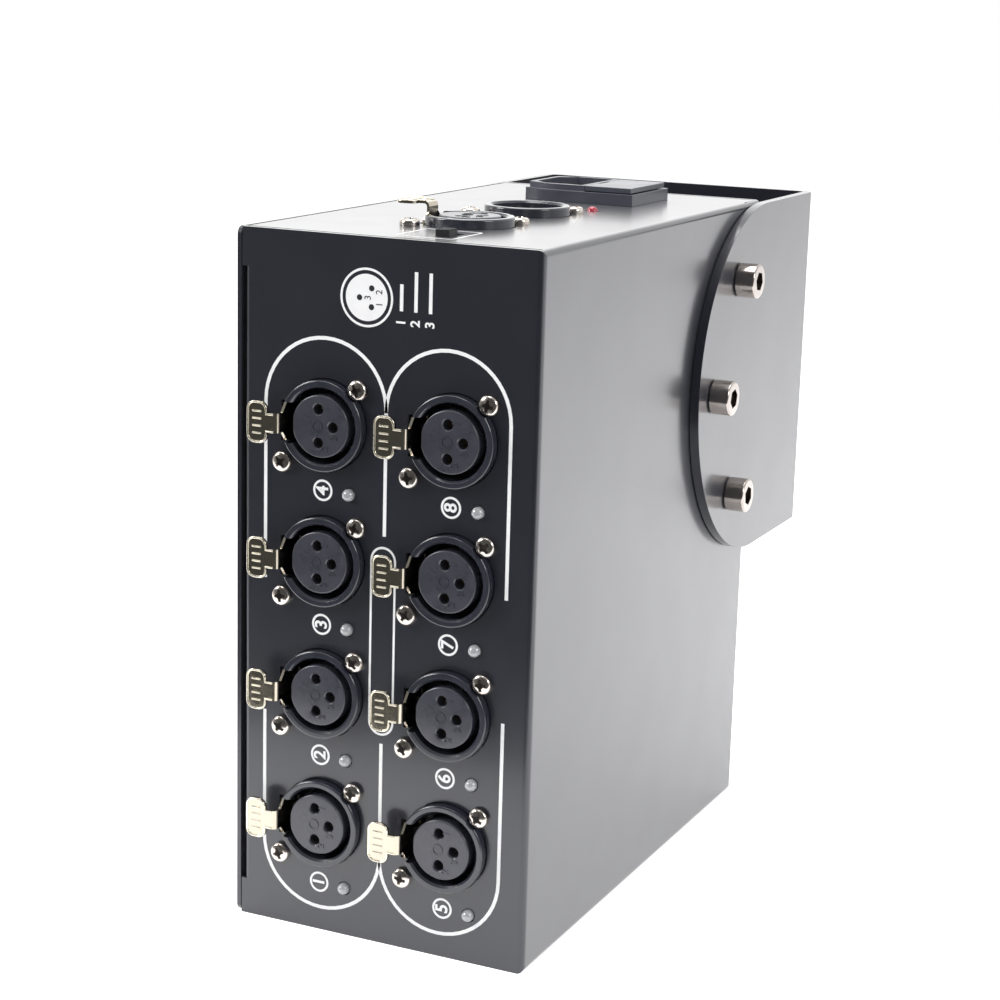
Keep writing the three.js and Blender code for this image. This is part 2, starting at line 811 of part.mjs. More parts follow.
function switchKnob() {
  const half = knobWidth / 2;
  const end = knobLength / 2;
  const pitch = knobLength / knobRibs;
  const crown = knobProud - knobRibHeight;
  const ribs = Array.from({ length: knobRibs }, (_, i) => {
    const start = -end + i * pitch;
    return block([-half, half], [start, start + pitch / 2], [0, knobProud]);
  });
  return join(block([-half, half], [-end, end], [-knobDepth, crown]), ...ribs);
}

// Mains inlet: two tiers above the panel, a body through it, a chamfered recess and three blades
function taperedPlate(inset) {
  const end = inletLength / 2 - inset;
  const side = inletWidth / 2 - inset;
  const taperStart = -end + inletTaperLength;
  const narrow = side - inletTaperWidth;
  return polygon([
    [end, side],
    [taperStart, side],
    [-end, narrow],
    [-end, -narrow],
    [taperStart, -side],
    [end, -side],
  ]);
}

const recessStart = -inletLength / 2 + inletTierInset + recessWall;
const recessEnd = recessStart + recessLength;
const drawerStart = recessEnd + recessWall;
const drawerEnd = inletLength / 2 - inletTierInset;

function inletRecess() {
  const half = recessWidth / 2;
  const outline = polygon([
    [recessEnd, half],
    [recessStart + recessChamfer, half],
    [recessStart, half - recessChamfer],
    [recessStart, recessChamfer - half],
    [recessStart + recessChamfer, -half],
    [recessEnd, -half],
  ]);
  return prism(outline, [inletUpperTier - recessDepth, inletUpperTier + overrun]);
}

// The body behind the panel, with the recess's two chamfers
function inletBody(inset) {
  const end = inletLength / 2 - inset;
  const side = inletWidth / 2 - inset;
  return polygon([
    [end, side],
    [inletBodyChamfer - end, side],
    [-end, side - inletBodyChamfer],
    [-end, inletBodyChamfer - side],
    [inletBodyChamfer - end, -side],
    [end, -side],
  ]);
}

function inletCutout() {
  return prism(inletBody(inletBodyInset - holeClearance), [-sheet - overrun, overrun]);
}

function drawerBay() {
  const half = inletWidth / 2 - inletTierInset - drawerWall;
  return block([drawerStart, drawerEnd - drawerWall], [-half, half], [-drawerDepth - seatGap, inletUpperTier + overrun]);
}

function powerInlet() {
  const lower = prism(taperedPlate(0), [seatGap, inletLowerTier]);
  const upper = prism(taperedPlate(inletTierInset), [seatGap, inletUpperTier]);
  const body = prism(inletBody(inletBodyInset), [-inletBodyDepth, inletLowerTier]);
  const coverSeat = block(
    [drawerStart, inletLength],
    [-inletWidth, inletWidth],
    [inletLowerTier, inletUpperTier + overrun],
  );
  const shell = cut(join(lower, upper, body), inletRecess(), drawerBay(), coverSeat);
  const floor = inletUpperTier - recessDepth;
  const middle = (recessStart + recessEnd) / 2;
  const blade = (x, y, setback) =>
    block(
      [x - bladeWidth / 2, x + bladeWidth / 2],
      [y - bladeThickness / 2, y + bladeThickness / 2],
      [floor - overrun, inletUpperTier - setback],
    );
  const contacts = [
    [middle - bladeOffset, 0, earthSetback],
    [middle + bladeOffset, bladeSpacing, bladeSetback],
    [middle + bladeOffset, -bladeSpacing, bladeSetback],
  ];
  return join(
    shell,
    ...contacts.map(([x, y, setback]) => blade(x, y, setback)),
    ...contacts.map(([x, y]) => terminal(x, y)),
  );
}

function terminal(x, y) {
  return block(
    [x - terminalThickness / 2, x + terminalThickness / 2],
    [y - terminalWidth / 2, y + terminalWidth / 2],
    [-inletBodyDepth - terminalLength, overrun - inletBodyDepth],
  );
}

// Fuse drawer: a cover that completes the upper tier, over a carrier that holds the fuse
function fuseDrawer() {
  const coverHalf = inletWidth / 2 - inletTierInset;
  const cover = block(
    [drawerStart + seatGap, drawerEnd],
    [-coverHalf, coverHalf],
    [inletLowerTier + seatGap, inletUpperTier],
  );
  const carrierHalf = coverHalf - drawerWall - seatGap;
  const carrier = block(
    [drawerStart + seatGap, drawerEnd - drawerWall - seatGap],
    [-carrierHalf, carrierHalf],
    [-drawerDepth, inletUpperTier - seatGap],
  );
  const trough = fuseRadius + seatGap;
  const pocket = block(
    [drawerMiddle() - trough, inletLength],
    [-fuseLength / 2 - seatGap, fuseLength / 2 + seatGap],
    [-fuseDepth - trough, -fuseDepth + trough],
  );
  return cut(join(cover, carrier), pocket);
}

function drawerMiddle() {
  return (drawerStart + drawerEnd - drawerWall) / 2;
}

function fuse() {
  const half = fuseLength / 2;
  const glass = fuseRadius - fuseGlassInset;
  return alongY(
    turned(
      [
        [0, -half],
        [fuseRadius, -half],
        [fuseRadius, -half + fuseCapLength],
        [glass, -half + fuseCapLength],
        [glass, half - fuseCapLength],
        [fuseRadius, half - fuseCapLength],
        [fuseRadius, half],
        [0, half],
      ],
      smallSides,
    ),
  );
}

// Circuit boards, each in the frame of the face that it lies behind
function chips(places, base) {
  return places.map(([x, y]) =>
    block(
      [x - chipLength / 2, x + chipLength / 2],
      [y - chipWidth / 2, y + chipWidth / 2],
      [base - chipHeight, base + boardThickness / 2],
    ),
  );
}

function outputBoard() {
  const half = halfWidth - sheet - boardMargin;
  const lowest = firstRowHeight - boardBeyondRows;
  const highest = firstRowHeight + (outputRows - 1) * rowPitch + boardBeyondRows;
  const level = [-boardBehindFace - boardThickness, -boardBehindFace];
  const plate = block([-half, half], [lowest, highest], level);
  return join(plate, ...chips(outputPlaces, level[0]));
}

function inputBoard() {
  const half = inputBoardWidth / 2;
  const front = -halfDepth + sheet + inputBoardFrontMargin;
  const rear = powerLampPlace[1] + inputBoardBeyondLamp;
  const level = [-boardBehindFace - boardThickness, -boardBehindFace];
  const plate = block([endColumnShift - half, endColumnShift + half], [front, rear], level);
  return join(plate, ...chips([linkPlace, inputPlace], level[0]));
}

// Supply board, drawn looking at the rear wall from inside: X across, Y up, Z into the box
function supplyBoard() {
  const half = supplyBoardWidth / 2;
  const top = supplyBoardBottom + supplyBoardHeight;
  const plate = block([-half, half], [supplyBoardBottom, top], [0, boardThickness]);
  const capacitor = [-1, 1].map((side) =>
    rod(capacitorRadius, [boardThickness - seatGap, boardThickness + capacitorHeight], smallSides, [
      side * (capacitorRadius + boardMargin),
      top - capacitorRadius - standoffInset - standoffRadius,
    ]),
  );
  return join(plate, ...capacitor);
}

function transformer() {
  const middle = supplyBoardBottom + supplyBoardHeight / 3;
  const across = [-transformerLength / 2, transformerLength / 2];
  const up = [middle - transformerWidth / 2, middle + transformerWidth / 2];
  const base = boardThickness + seatGap;
  const coreBase = base + (transformerHeight - coreThickness) / 2;
  const core = block(across, up, [coreBase, coreBase + coreThickness]);
  const coil = block(
    [across[0] + coilInset, across[1] - coilInset],
    [up[0] + coilInset, up[1] - coilInset],
    [base, base + transformerHeight],
  );
  return join(core, coil);
}

// Scene graph
const splitter = new THREE.Group();
const frontFace = new THREE.Group();
frontFace.position.set(0, -halfDepth, 0);
frontFace.rotation.x = Math.PI / 2;
const endFace = new THREE.Group();
endFace.position.set(0, 0, boxHeight);
splitter.add(frontFace, endFace);

function place(parent, name, geometry, look, x = 0, y = 0, z = 0) {
  const mesh = new THREE.Mesh(geometry, material(look));
  mesh.name = name;
  mesh.position.set(x, y, z);
  parent.add(mesh);
  return mesh;
}

place(splitter, "chassis", chassis(), "paintedSteel");
place(splitter, "lid", lid(), "paintedSteel");
place(splitter, "bracket", bracket(), "bracketPaint");

const bracketSides = [
  ["right", halfWidth + bracketGap + bracketSheet, 1],
  ["left", lidOuterX - bracketGap - bracketSheet, -1],
];
bracketSides.forEach(([side, x, direction]) => {
  capScrewPlaces.forEach(([y, z], i) => {
    const outward = x + direction * seatGap;
    const screw = place(splitter, `bracket_screw_${side}_${i + 1}`, capScrew(), "blackOxide", outward, y, z);
    screw.rotation.y = (direction * Math.PI) / 2;
  });
});

lidScrewPlaces.forEach(([y, z], i) => {
  const screw = place(splitter, `lid_screw_${i + 1}`, lidScrew(), "nickel", lidOuterX - seatGap, y, z);
  screw.rotation.y = -Math.PI / 2;
});

outputPlaces.forEach(([x, z], i) => {
  const number = i + 1;
  place(frontFace, `output_shell_${number}`, socketShell(), "blackPlastic", x, z);
  place(frontFace, `output_insert_${number}`, socketInsert(), "insertPlastic", x, z);
  place(frontFace, `output_latch_${number}`, socketLatch(), "nickel", x, z);
  const [dx, dz] = signalLampOffset;
  place(frontFace, `signal_lamp_${number}`, lamp(), "clearLamp", x + dx, z + dz);
});

place(endFace, "link_shell", socketShell(), "blackPlastic", ...linkPlace);
place(endFace, "link_insert", socketInsert(), "insertPlastic", ...linkPlace);
place(endFace, "link_latch", socketLatch(), "nickel", ...linkPlace);
place(endFace, "input_shell", plugShell(), "blackPlastic", ...inputPlace);
place(endFace, "input_insert", plugInsert(), "insertPlastic", ...inputPlace);
place(endFace, "power_lamp", lamp(), "redLamp", ...powerLampPlace);
place(endFace, "switch_body", switchBody(), "nickel", ...switchPlace);
place(endFace, "switch_knob", switchKnob(), "blackPlastic", ...switchPlace);
place(endFace, "power_inlet", powerInlet(), "blackPlastic", ...inletPlace);
place(endFace, "fuse_drawer", fuseDrawer(), "blackPlastic", ...inletPlace);
place(endFace, "fuse", fuse(), "glass", inletPlace[0] + drawerMiddle(), inletPlace[1], -fuseDepth);

place(frontFace, "output_board", outputBoard(), "board");
place(endFace, "input_board", inputBoard(), "board");

const supply = new THREE.Group();
supply.position.set(0, supplyBoardY, 0);
supply.rotation.x = Math.PI / 2;
splitter.add(supply);
place(supply, "supply_board", supplyBoard(), "board");
place(supply, "transformer", transformer(), "core");

export default splitter;
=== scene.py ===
import math

import bmesh
import bpy
from mathutils import Matrix, Vector


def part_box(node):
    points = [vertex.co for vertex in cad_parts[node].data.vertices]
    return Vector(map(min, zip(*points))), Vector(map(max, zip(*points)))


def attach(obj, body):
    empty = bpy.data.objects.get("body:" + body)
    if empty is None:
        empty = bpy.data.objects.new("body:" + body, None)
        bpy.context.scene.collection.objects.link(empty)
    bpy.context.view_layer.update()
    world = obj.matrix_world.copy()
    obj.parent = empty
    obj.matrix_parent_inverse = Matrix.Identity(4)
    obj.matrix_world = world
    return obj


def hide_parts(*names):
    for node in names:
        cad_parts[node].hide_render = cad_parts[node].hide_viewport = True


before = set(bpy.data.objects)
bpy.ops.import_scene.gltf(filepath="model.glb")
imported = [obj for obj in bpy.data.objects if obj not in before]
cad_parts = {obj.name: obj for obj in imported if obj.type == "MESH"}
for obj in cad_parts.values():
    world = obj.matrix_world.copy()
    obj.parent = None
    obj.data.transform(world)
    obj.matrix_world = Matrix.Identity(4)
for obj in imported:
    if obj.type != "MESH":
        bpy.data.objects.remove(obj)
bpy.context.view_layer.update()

MM = 0.001
CASE = "case"

# The camera, where the photograph was taken from
CAMERA_PLACE = Vector((0.26257, -0.57181, 0.25077))
CAMERA_FORWARD = Vector((-0.41235, 0.88233, -0.22689))
CAMERA_UP = Vector((-0.12103, 0.19378, 0.97356))
CAMERA_LENS = 81.86
CAMERA_SENSOR = 36.0

# Facets and small roundings
ROUND = 96
SMALL_ROUND = 32
SCREW_ROUND = 40
RING_ROUND = 48
WIRE_ROUND = 16
HEX = 6
ARC_STEPS = 8
ARCH_STEPS = 24
EDGE = 0.18
CASE_EDGE = 0.3
SMOOTH_ANGLE = math.radians(32)
EDGE_SEGMENTS = 2
CUT_WELD = 0.0005
FIGURE_WELD = 0.001
FIGURE_HEIGHT_SHARE = 0.7
OVERRUN = 1.0
SEAT_GAP = 0.2
HOLE_CLEARANCE = 0.3

# Folded box
SHEET = 1.5
FOLD_INSIDE = 0.2
RETURN_WIDTH = 11.0
LUG_LENGTH = 10.0
LUG_STEP = 0.6
LUG_OVERLAP = 0.5
CORNER_SEAM = 0.8
LID_SHEET = 1.2
LID_GAP = 0.3
LID_CORNER = 2.2

# Clamp bracket and its screws
BRACKET_SHEET = 2.7
BRACKET_FOLD_INSIDE = 1.5
BRACKET_CENTRE_FROM_REAR = 1.3
CLAMP_HOLE_RADIUS = 6.25
BRACKET_EDGE = 0.35
EAR_STEPS = 72
CAP_SCREW_RADIUS = 3.0
CAP_SCREW_LENGTH = 14.0
CAP_HEAD_RADIUS = 5.0
CAP_HEAD_HEIGHT = 6.0
CAP_HEAD_ROUNDING = 0.55
HEX_KEY_ACROSS = 5.0
HEX_KEY_DEPTH = 4.0
PRESS_NUT_ACROSS = 10.0
PRESS_NUT_HEIGHT = 4.5
STANDOFF_RADIUS = 3.0
STANDOFF_HEIGHT = 6.0
STANDOFF_INSET = 5.0

# Round signal connectors
RING_RADIUS = 11.8
RING_PROUD = 2.6
RING_ROUNDING = 0.5
RIM_RADIUS = 10.35
RIM_CHAMFER = 0.6
SOCKET_BORE = 9.8
SHELL_DEPTH = 18.0
FLANGE_THICKNESS = 2.2
FLANGE_LEFT = 15.6
FLANGE_RIGHT = 14.0
FLANGE_HALF_HEIGHT = 14.6
FLANGE_CORNER = 3.6
SCREW_OFFSETS = ((9.6, 9.9), (-12.1, -10.7))
INSERT_RADIUS = 8.1
INSERT_PROUD = 2.7
INSERT_ROUNDING = 0.45
INSERT_FLAT = 7.75
INSERT_FOOT = 3.0
CONTACT_OFFSETS = ((-0.6, 4.35), (-0.6, -4.35), (3.6, 0.0))
CONTACT_HOLE_RADIUS = 1.38
CONTACT_HOLE_DEPTH = 8.0
CONTACT_COUNTERSINK = 0.3
CONTACT_TUBE_RADIUS = 1.24
CONTACT_TUBE_BORE = 0.95
CONTACT_TUBE_SETBACK = 4.0
PLUG_PIN_RADIUS = 1.2
PLUG_PIN_SETBACK = 2.6
SOLDER_PIN_RADIUS = 0.6
BOARD_BEHIND_FACE = 22.0
MOULD_MARK_RADIUS = 1.5
MOULD_MARK_WIDTH = 0.3
MOULD_MARK_HEIGHT = 0.2
MOULD_MARK_OFFSET = -0.8
PIN_NUMBER_OFFSETS = ((2.4, 0.5), (2.1, -1.2), (0.5, -2.5))
PIN_NUMBER_HEIGHT = 1.9
PIN_NUMBER_WEIGHT = 0.012

# Panel screws with a cross recess
SCREW_RADIUS = 1.5
PAN_RADIUS = 2.65
PAN_CLEARANCE = 0.15
PAN_HEIGHT = 2.2
PAN_SEAT = 0.05
PAN_ROUNDING = 1.0
PAN_CROWN = 0.4
PAN_SHOULDER_TURN = math.radians(66)
CROSS_REACH = 1.85
CROSS_WIDTH = 0.85
CROSS_DEPTH = 1.7
CROSS_FOOT_SHARE = 0.45
CROSS_PIT_RADIUS = 1.0
# Depth and inset of the dark piece at the foot of a cross recess, which is painted shade
CROSS_SHADE_DEPTH = 0.6
CROSS_SHADE_GAP = 0.03
LID_SCREW_RADIUS = 2.9
LID_SCREW_HEIGHT = 1.9
LID_SCREW_LENGTH = 6.6
SCREW_TURN_STEP = 37.0
SCREW_PAIR_TURN = 3

# Press latches
LATCH_SHEET = 0.7
LATCH_ARM = 11.0
LATCH_PIVOT_DEPTH = 7.0
LATCH_LEG_DEPTH = 10.0
LATCH_NECK_WIDTH = 5.1
LATCH_TAB_WIDTH = 10.9
LATCH_TAB_LENGTH = 5.9
LATCH_TAB_HEIGHT = 5.6
LATCH_TAB_REACH = 19.6
LATCH_TAB_CORNER = 2.2
LATCH_RIM_WIDTH = 0.6
LATCH_RIM_HEIGHT = 0.26
LATCH_GRIP_BARS = 4
LATCH_GRIP_LENGTH = 2.6
LATCH_GRIP_WIDTH = 0.55
LATCH_GRIP_PITCH = 1.9
LATCH_SHOULDER_WIDTH = 9.8
LATCH_SHOULDER_START = 2.9
LATCH_SHOULDER_FULL = 1.0
LATCH_SHOULDER_DEPTH = 3.0
LATCH_PIN_RADIUS = 0.6
LATCH_PIN_REACH = 0.8
LATCH_PIN_CLEARANCE = 0.25
LATCH_CATCH_REACH = 1.1
LATCH_CATCH_DEPTH = 4.4
LATCH_CATCH_HEIGHT = 1.8
LATCH_FOLD_INSIDE = 0.8
LATCH_EDGE = 0.17
CHANNEL_OUTER = 14.0
CHANNEL_DEPTH = 13.0
CHANNEL_WALL = 1.2
PANEL_RELIEF = 12.8
CHANNEL_CLEARANCE = 0.4
CHANNEL_HALF = LATCH_SHOULDER_WIDTH / 2 + CHANNEL_CLEARANCE

# Lamps
LAMP_RADIUS = 1.6
LAMP_PROUD = 1.9
RED_LAMP_PROUD = 1.3
LAMP_BODY = 4.0
LAMP_COLLAR_RADIUS = 2.0

# Slide switch
KNOB_RIB_HEIGHT = 0.4
KNOB_RIBS = 4
SWITCH_TRAVEL = 3.8

# Mains inlet and its fuse drawer
INLET_TAPER_LENGTH = 7.0
INLET_TAPER_WIDTH = 3.5
INLET_LOWER_TIER = 3.4
INLET_UPPER_TIER = 5.1
INLET_TIER_INSET = 0.9
INLET_BODY_INSET = 1.2
INLET_BODY_CHAMFER = 4.6
INLET_BODY_DEPTH = 27.0
INLET_LENGTH = 35.0
INLET_WIDTH = 28.0
INLET_EDGE = 0.7
RECESS_LENGTH = 16.2
RECESS_WIDTH = 23.6
RECESS_CHAMFER = 4.6
RECESS_DEPTH = 17.0
RECESS_WALL = 1.3
BLADE_WIDTH = 4.0
BLADE_THICKNESS = 2.0
BLADE_SPACING = 7.0
BLADE_OFFSET = 2.0
BLADE_SETBACK = 3.0
EARTH_SETBACK = 1.2
BLADE_EDGE = 0.4
DRAWER_WALL = 1.2
DRAWER_DEPTH = 20.0
DRAWER_NOTCH_WIDTH = 7.0
DRAWER_NOTCH_DEPTH = 1.0
TERMINAL_WIDTH = 6.3
TERMINAL_THICKNESS = 0.8
TERMINAL_LENGTH = 8.0
FUSE_RADIUS = 2.6
FUSE_LENGTH = 20.0
FUSE_CAP_LENGTH = 5.0
FUSE_CAP_WALL = 0.5
FUSE_GLASS_INSET = 0.3
FUSE_GLASS_SETBACK = 1.0
FUSE_DEPTH = 9.0
FUSE_WIRE_RADIUS = 0.15

# Printed lines and numbers on the paint
INK = 0.03
INK_BASE = 0.004
LINE = 0.95
THIN_LINE = 0.6
LOOP_LEFT = -34.9
LOOP_MIDDLE = 0.0
LOOP_RIGHT = 34.5
LOOP_TOP = 159.6
LOOP_BOTTOM = 6.4
LEFT_BREAK = (58.9, 95.0)
RIGHT_BREAK = (66.5, 98.6)
MIDDLE_BREAK = (55.2, 110.4)
PILL = ((-3.6, 3.2), (57.7, 107.4))
NUMBER_OFFSET = (-0.45, -17.05)
NUMBER_RING_RADIUS = 2.52
NUMBER_HEIGHT = 3.4
NUMBER_WEIGHT = 0.035
DISC_CENTRE = (-6.0, 170.8)
DISC_RING_RADIUS = 7.15
DISC_RADIUS = 5.9
DISC_PINS = ((1.4, -2.3), (1.4, 2.4), (-2.0, -0.1))
DISC_PIN_RADIUS = 0.75
DISC_NUMBER_OFFSETS = ((2.3, 0.8), (2.2, -0.8), (2.4, 0.1))
DISC_NUMBER_HEIGHT = 1.8
DISC_NUMBER_WEIGHT = 0.0
LEGEND_COLUMNS = (3.8, 7.8, 11.85)
LEGEND_START = 165.4
LEGEND_NUMBER_HEIGHT = 2.5
LEGEND_BAR_START = 168.2
LEGEND_BAR_ENDS = (174.9, 178.2, 178.2)
SWITCH_FRAME = ((-2.0, 13.8), (-71.5, -54.0))
SWITCH_FRAME_CORNER = 1.0

# The axes u, v and w of each face, as the columns of a matrix
FRONT = Matrix(((1, 0, 0), (0, 0, -1), (0, 1, 0)))
END = Matrix.Identity(3)
RIGHT = Matrix(((0, 0, 1), (1, 0, 0), (0, 1, 0)))
LEFT = Matrix(((0, 0, -1), (-1, 0, 0), (0, 1, 0)))
QUARTER_TURN = Matrix.Rotation(math.pi / 2, 4, "Z")

# Numbers in the names of the frame's nodes
OUTPUTS = "12345678"
CAP_SCREWS = "123"
LID_SCREWS = "1234"


# Places read from the frame
def box_mm(node):
    low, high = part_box(node)
    return low / MM, high / MM


def centre_mm(node):
    low, high = box_mm(node)
    return (low + high) / 2


_, box_high = box_mm("chassis")
bracket_low, bracket_high = box_mm("bracket")
HALF_WIDTH = box_high.x
HALF_DEPTH = box_high.y
HEIGHT = box_high.z
LID_INNER = -HALF_WIDTH - LID_GAP
LID_OUTER = LID_INNER - LID_SHEET
PANEL_BORE = RING_RADIUS + HOLE_CLEARANCE
THROUGH_PANEL = (-SHEET - OVERRUN, OVERRUN)


def on(face, x, y, z):
    return Matrix.Translation((x, y, z)) @ face.to_4x4()


def on_front(node):
    centre = centre_mm(node)
    return on(FRONT, centre.x, -HALF_DEPTH, centre.z)


def on_end(node):
    centre = centre_mm(node)
    return on(END, centre.x, centre.y, HEIGHT)


# Shapes, meshes and objects
def in_scene(name, data):
    obj = bpy.data.objects.new(name, data)
    bpy.context.scene.collection.objects.link(obj)
    return obj


def plain_mesh(name, shape):
    mesh = bpy.data.meshes.new(name)
    shape.to_mesh(mesh)
    shape.free()
    return mesh


def evaluated_shape(obj):
    """The shape of an object that is in the scene, with its modifiers or its text as a mesh."""
    bpy.context.view_layer.update()
    mesh = bpy.data.meshes.new_from_object(obj.evaluated_get(bpy.context.evaluated_depsgraph_get()))
    shape = bmesh.new()
    shape.from_mesh(mesh)
    bpy.data.meshes.remove(mesh)
    return shape


# Closed shapes, and outlines for them
def sealed(shape):
    bmesh.ops.recalc_face_normals(shape, faces=shape.faces)
    return shape


def loft(rings, closed=False):
    """A solid through rings of as many points each; closed joins the last ring to the first."""
    shape = bmesh.new()
    rows = [[shape.verts.new(point) for point in ring] for ring in rings]
    if not closed:
        shape.faces.new(rows[0][::-1])
        shape.faces.new(rows[-1])
    following = rows[1:] + rows[:1] if closed else rows[1:]
    for lower, upper in zip(rows, following):
        for i in range(len(lower)):
            j = (i + 1) % len(lower)
            shape.faces.new((lower[i], lower[j], upper[j], upper[i]))
    return sealed(shape)


def prism(outline, span):
    return loft([[(x, y, w) for x, y in outline] for w in span])


def block(across, along, span):
    (x0, x1), (y0, y1) = across, along
    return prism([(x0, y0), (x1, y0), (x1, y1), (x0, y1)], span)


def about(middle, width):
    """The span of a width about its middle."""
    return middle - width / 2, middle + width / 2


def circle(radius, steps, place=(0.0, 0.0)):
    x, y = place
    angles = [math.tau * i / steps for i in range(steps)]
    return [(x + radius * math.cos(a), y + radius * math.sin(a)) for a in angles]


def rod(radius, span, steps=ROUND, place=(0.0, 0.0)):
    return prism(circle(radius, steps, place), span)


def hex_rod(across, span):
    return rod(across / 2 / math.cos(math.pi / HEX), span, HEX)


def lathe(profile, steps=ROUND):
    """A solid of revolution about w, from (radius, w) pairs that start and end on the axis."""
    shape = bmesh.new()
    angles = [math.tau * i / steps for i in range(steps)]
    rows = []
    for radius, w in profile:
        if radius == 0:
            rows.append([shape.verts.new((0, 0, w))] * steps)
        else:
            rows.append([shape.verts.new((radius * math.cos(a), radius * math.sin(a), w)) for a in angles])
    for lower, upper in zip(rows, rows[1:]):
        for i in range(steps):
            j = (i + 1) % steps
            corners = list(dict.fromkeys((lower[i], lower[j], upper[j], upper[i])))
            if len(corners) > 2:
                shape.faces.new(corners)
    return sealed(shape)


def tapered(top, foot, span):
    """A block whose two ends are rectangles of different half sizes."""
    rings = []
    for (x, y), w in zip((foot, top), span):
        rings.append([(-x, -y, w), (x, -y, w), (x, y, w), (-x, y, w)])
    return loft(rings)


def arc(centre, radius, start, end, steps=ARC_STEPS):
    x, y = centre
    angles = [start + (end - start) * i / steps for i in range(steps + 1)]
    return [(x + radius * math.cos(a), y + radius * math.sin(a)) for a in angles]


def rounded_edge(radius, top, rounding, turn=math.pi / 2):
    """The rounding of a lathed shape, from its side up towards its top."""
    return arc((radius - rounding, top - rounding), rounding, 0, turn)


def rounded_rectangle(across, along, radius):
    (x0, x1), (y0, y1) = across, along
    right, left, high, low = x1 - radius, x0 + radius, y1 - radius, y0 + radius
    quarter = math.pi / 2
    outline = []
    for i, corner in enumerate(((right, high), (left, high), (left, low), (right, low))):
        outline += arc(corner, radius, i * quarter, (i + 1) * quarter)
    return outline


def folded_sheet(path, thickness, inside):
    """The edge-on outline of sheet metal that follows straight runs joined by round folds."""
    corners = [Vector(point) for point in path]
    middle = inside + thickness / 2
    stations = []
    for i, corner in enumerate(corners):
        into = (corners[max(i, 1)] - corners[max(i - 1, 0)]).normalized()
        left = Vector((-into.y, into.x))
        if i in (0, len(corners) - 1):
            stations.append((corner, left))
            continue
        out = (corners[i + 1] - corner).normalized()
        turn = math.atan2(into.cross(out), into.dot(out))
        start = corner - into * middle * math.tan(abs(turn) / 2)
        centre = start + left * math.copysign(middle, turn)
        for step in range(ARC_STEPS + 1):
            spin = Matrix.Rotation(turn * step / ARC_STEPS, 2)
            stations.append((centre + spin @ (start - centre), spin @ left))
    sides = [[tuple(p + n * sign * thickness / 2) for p, n in stations] for sign in (-1, 1)]
    return sides[0] + sides[1][::-1]


def swept(points, section, closed=False):
    """A line along points of the face, with its section given as (side, w) pairs."""
    path = [Vector(point) for point in points]
    last = len(path) - 1
    rings = []
    for i, point in enumerate(path):
        before = path[i - 1] if closed or i > 0 else point
        after = path[(i + 1) % len(path)] if closed or i < last else point
        along = (after - before).normalized()
        across = Vector((-along.y, along.x))
        rings.append([(*(point + across * side), w) for side, w in section])
    return loft(rings, closed)


def ribbon(points, width, closed=False):
    """A printed line along points of the face."""
    half = width / 2
    low, high = INK_BASE, INK_BASE + INK
    return swept(points, [(-half, low), (half, low), (half, high), (-half, high)], closed)


def bead(points, width, height, base):
    """A raised line with a half-round section."""
    section = [(width / 2 * c, base + height * s) for c, s in arc((0, 0), 1, 0, math.pi)]
    return swept(points, section)


def glyphs(text, height, depth, base, weight):
    """Plain figures about the origin, raised from base, that read from the right."""
    curve = bpy.data.curves.new("glyphs", "FONT")
    curve.body = text
    curve.size = height / FIGURE_HEIGHT_SHARE
    curve.extrude = depth / 2
    curve.align_x = "CENTER"
    curve.align_y = "CENTER"
    curve.offset = height * weight
    holder = in_scene("glyphs", curve)
    shape = evaluated_shape(holder)
    bmesh.ops.remove_doubles(shape, verts=shape.verts, dist=FIGURE_WELD)
    bmesh.ops.translate(shape, verts=shape.verts, vec=(0, 0, base + depth / 2))
    bpy.data.objects.remove(holder)
    bpy.data.curves.remove(curve)
    return moved(sealed(shape), QUARTER_TURN)


def moved(shape, matrix):
    bmesh.ops.transform(shape, matrix=matrix, verts=shape.verts)
    return shape


def shifted(shape, x, y):
    return moved(shape, Matrix.Translation((x, y, 0)))


# A shape drawn in XY and raised along Z is turned so that Z becomes the axis named
def along_x(shape):
    return moved(shape, Matrix(((0, 0, 1, 0), (1, 0, 0, 0), (0, 1, 0, 0), (0, 0, 0, 1))))


def along_y(shape):
    return moved(shape, Matrix.Rotation(math.pi / 2, 4, "X"))


def group(shapes):
    """Several shapes in one, left as they are."""
    whole = bmesh.new()
    for shape in shapes:
        mesh = plain_mesh("part", shape)
        whole.from_mesh(mesh)
        bpy.data.meshes.remove(mesh)
    return whole


def combined(base, tools, operation):
    """base with the tools united with it, taken from it, or kept in common with it."""
    scratch = bpy.data.collections.new("scratch")
    bpy.context.scene.collection.children.link(scratch)
    holder = in_scene("base", plain_mesh("base", base))
    holders = [holder]
    for tool in tools:
        holders.append(bpy.data.objects.new("tool", plain_mesh("tool", tool)))
        scratch.objects.link(holders[-1])
    modifier = holder.modifiers.new("combine", "BOOLEAN")
    modifier.operation = operation
    modifier.solver = "EXACT"
    modifier.operand_type = "COLLECTION"
    modifier.collection = scratch
    whole = evaluated_shape(holder)
    for holder in holders:
        mesh = holder.data
        bpy.data.objects.remove(holder)
        bpy.data.meshes.remove(mesh)
    bpy.data.collections.remove(scratch)
    bmesh.ops.remove_doubles(whole, verts=whole.verts, dist=CUT_WELD)
    return whole


def united(base, *tools):
    return combined(base, tools, "UNION")


def cut(base, *tools):
    return combined(base, tools, "DIFFERENCE")


def in_common(base, tool):
    return combined(base, [tool], "INTERSECT")


def mesh_of(name, shape):
    mesh = plain_mesh(name, shape)
    mesh.transform(Matrix.Scale(MM, 4))
    mesh.polygons.foreach_set("use_smooth", [True] * len(mesh.polygons))
    mesh.set_sharp_from_angle(angle=SMOOTH_ANGLE)
    return mesh


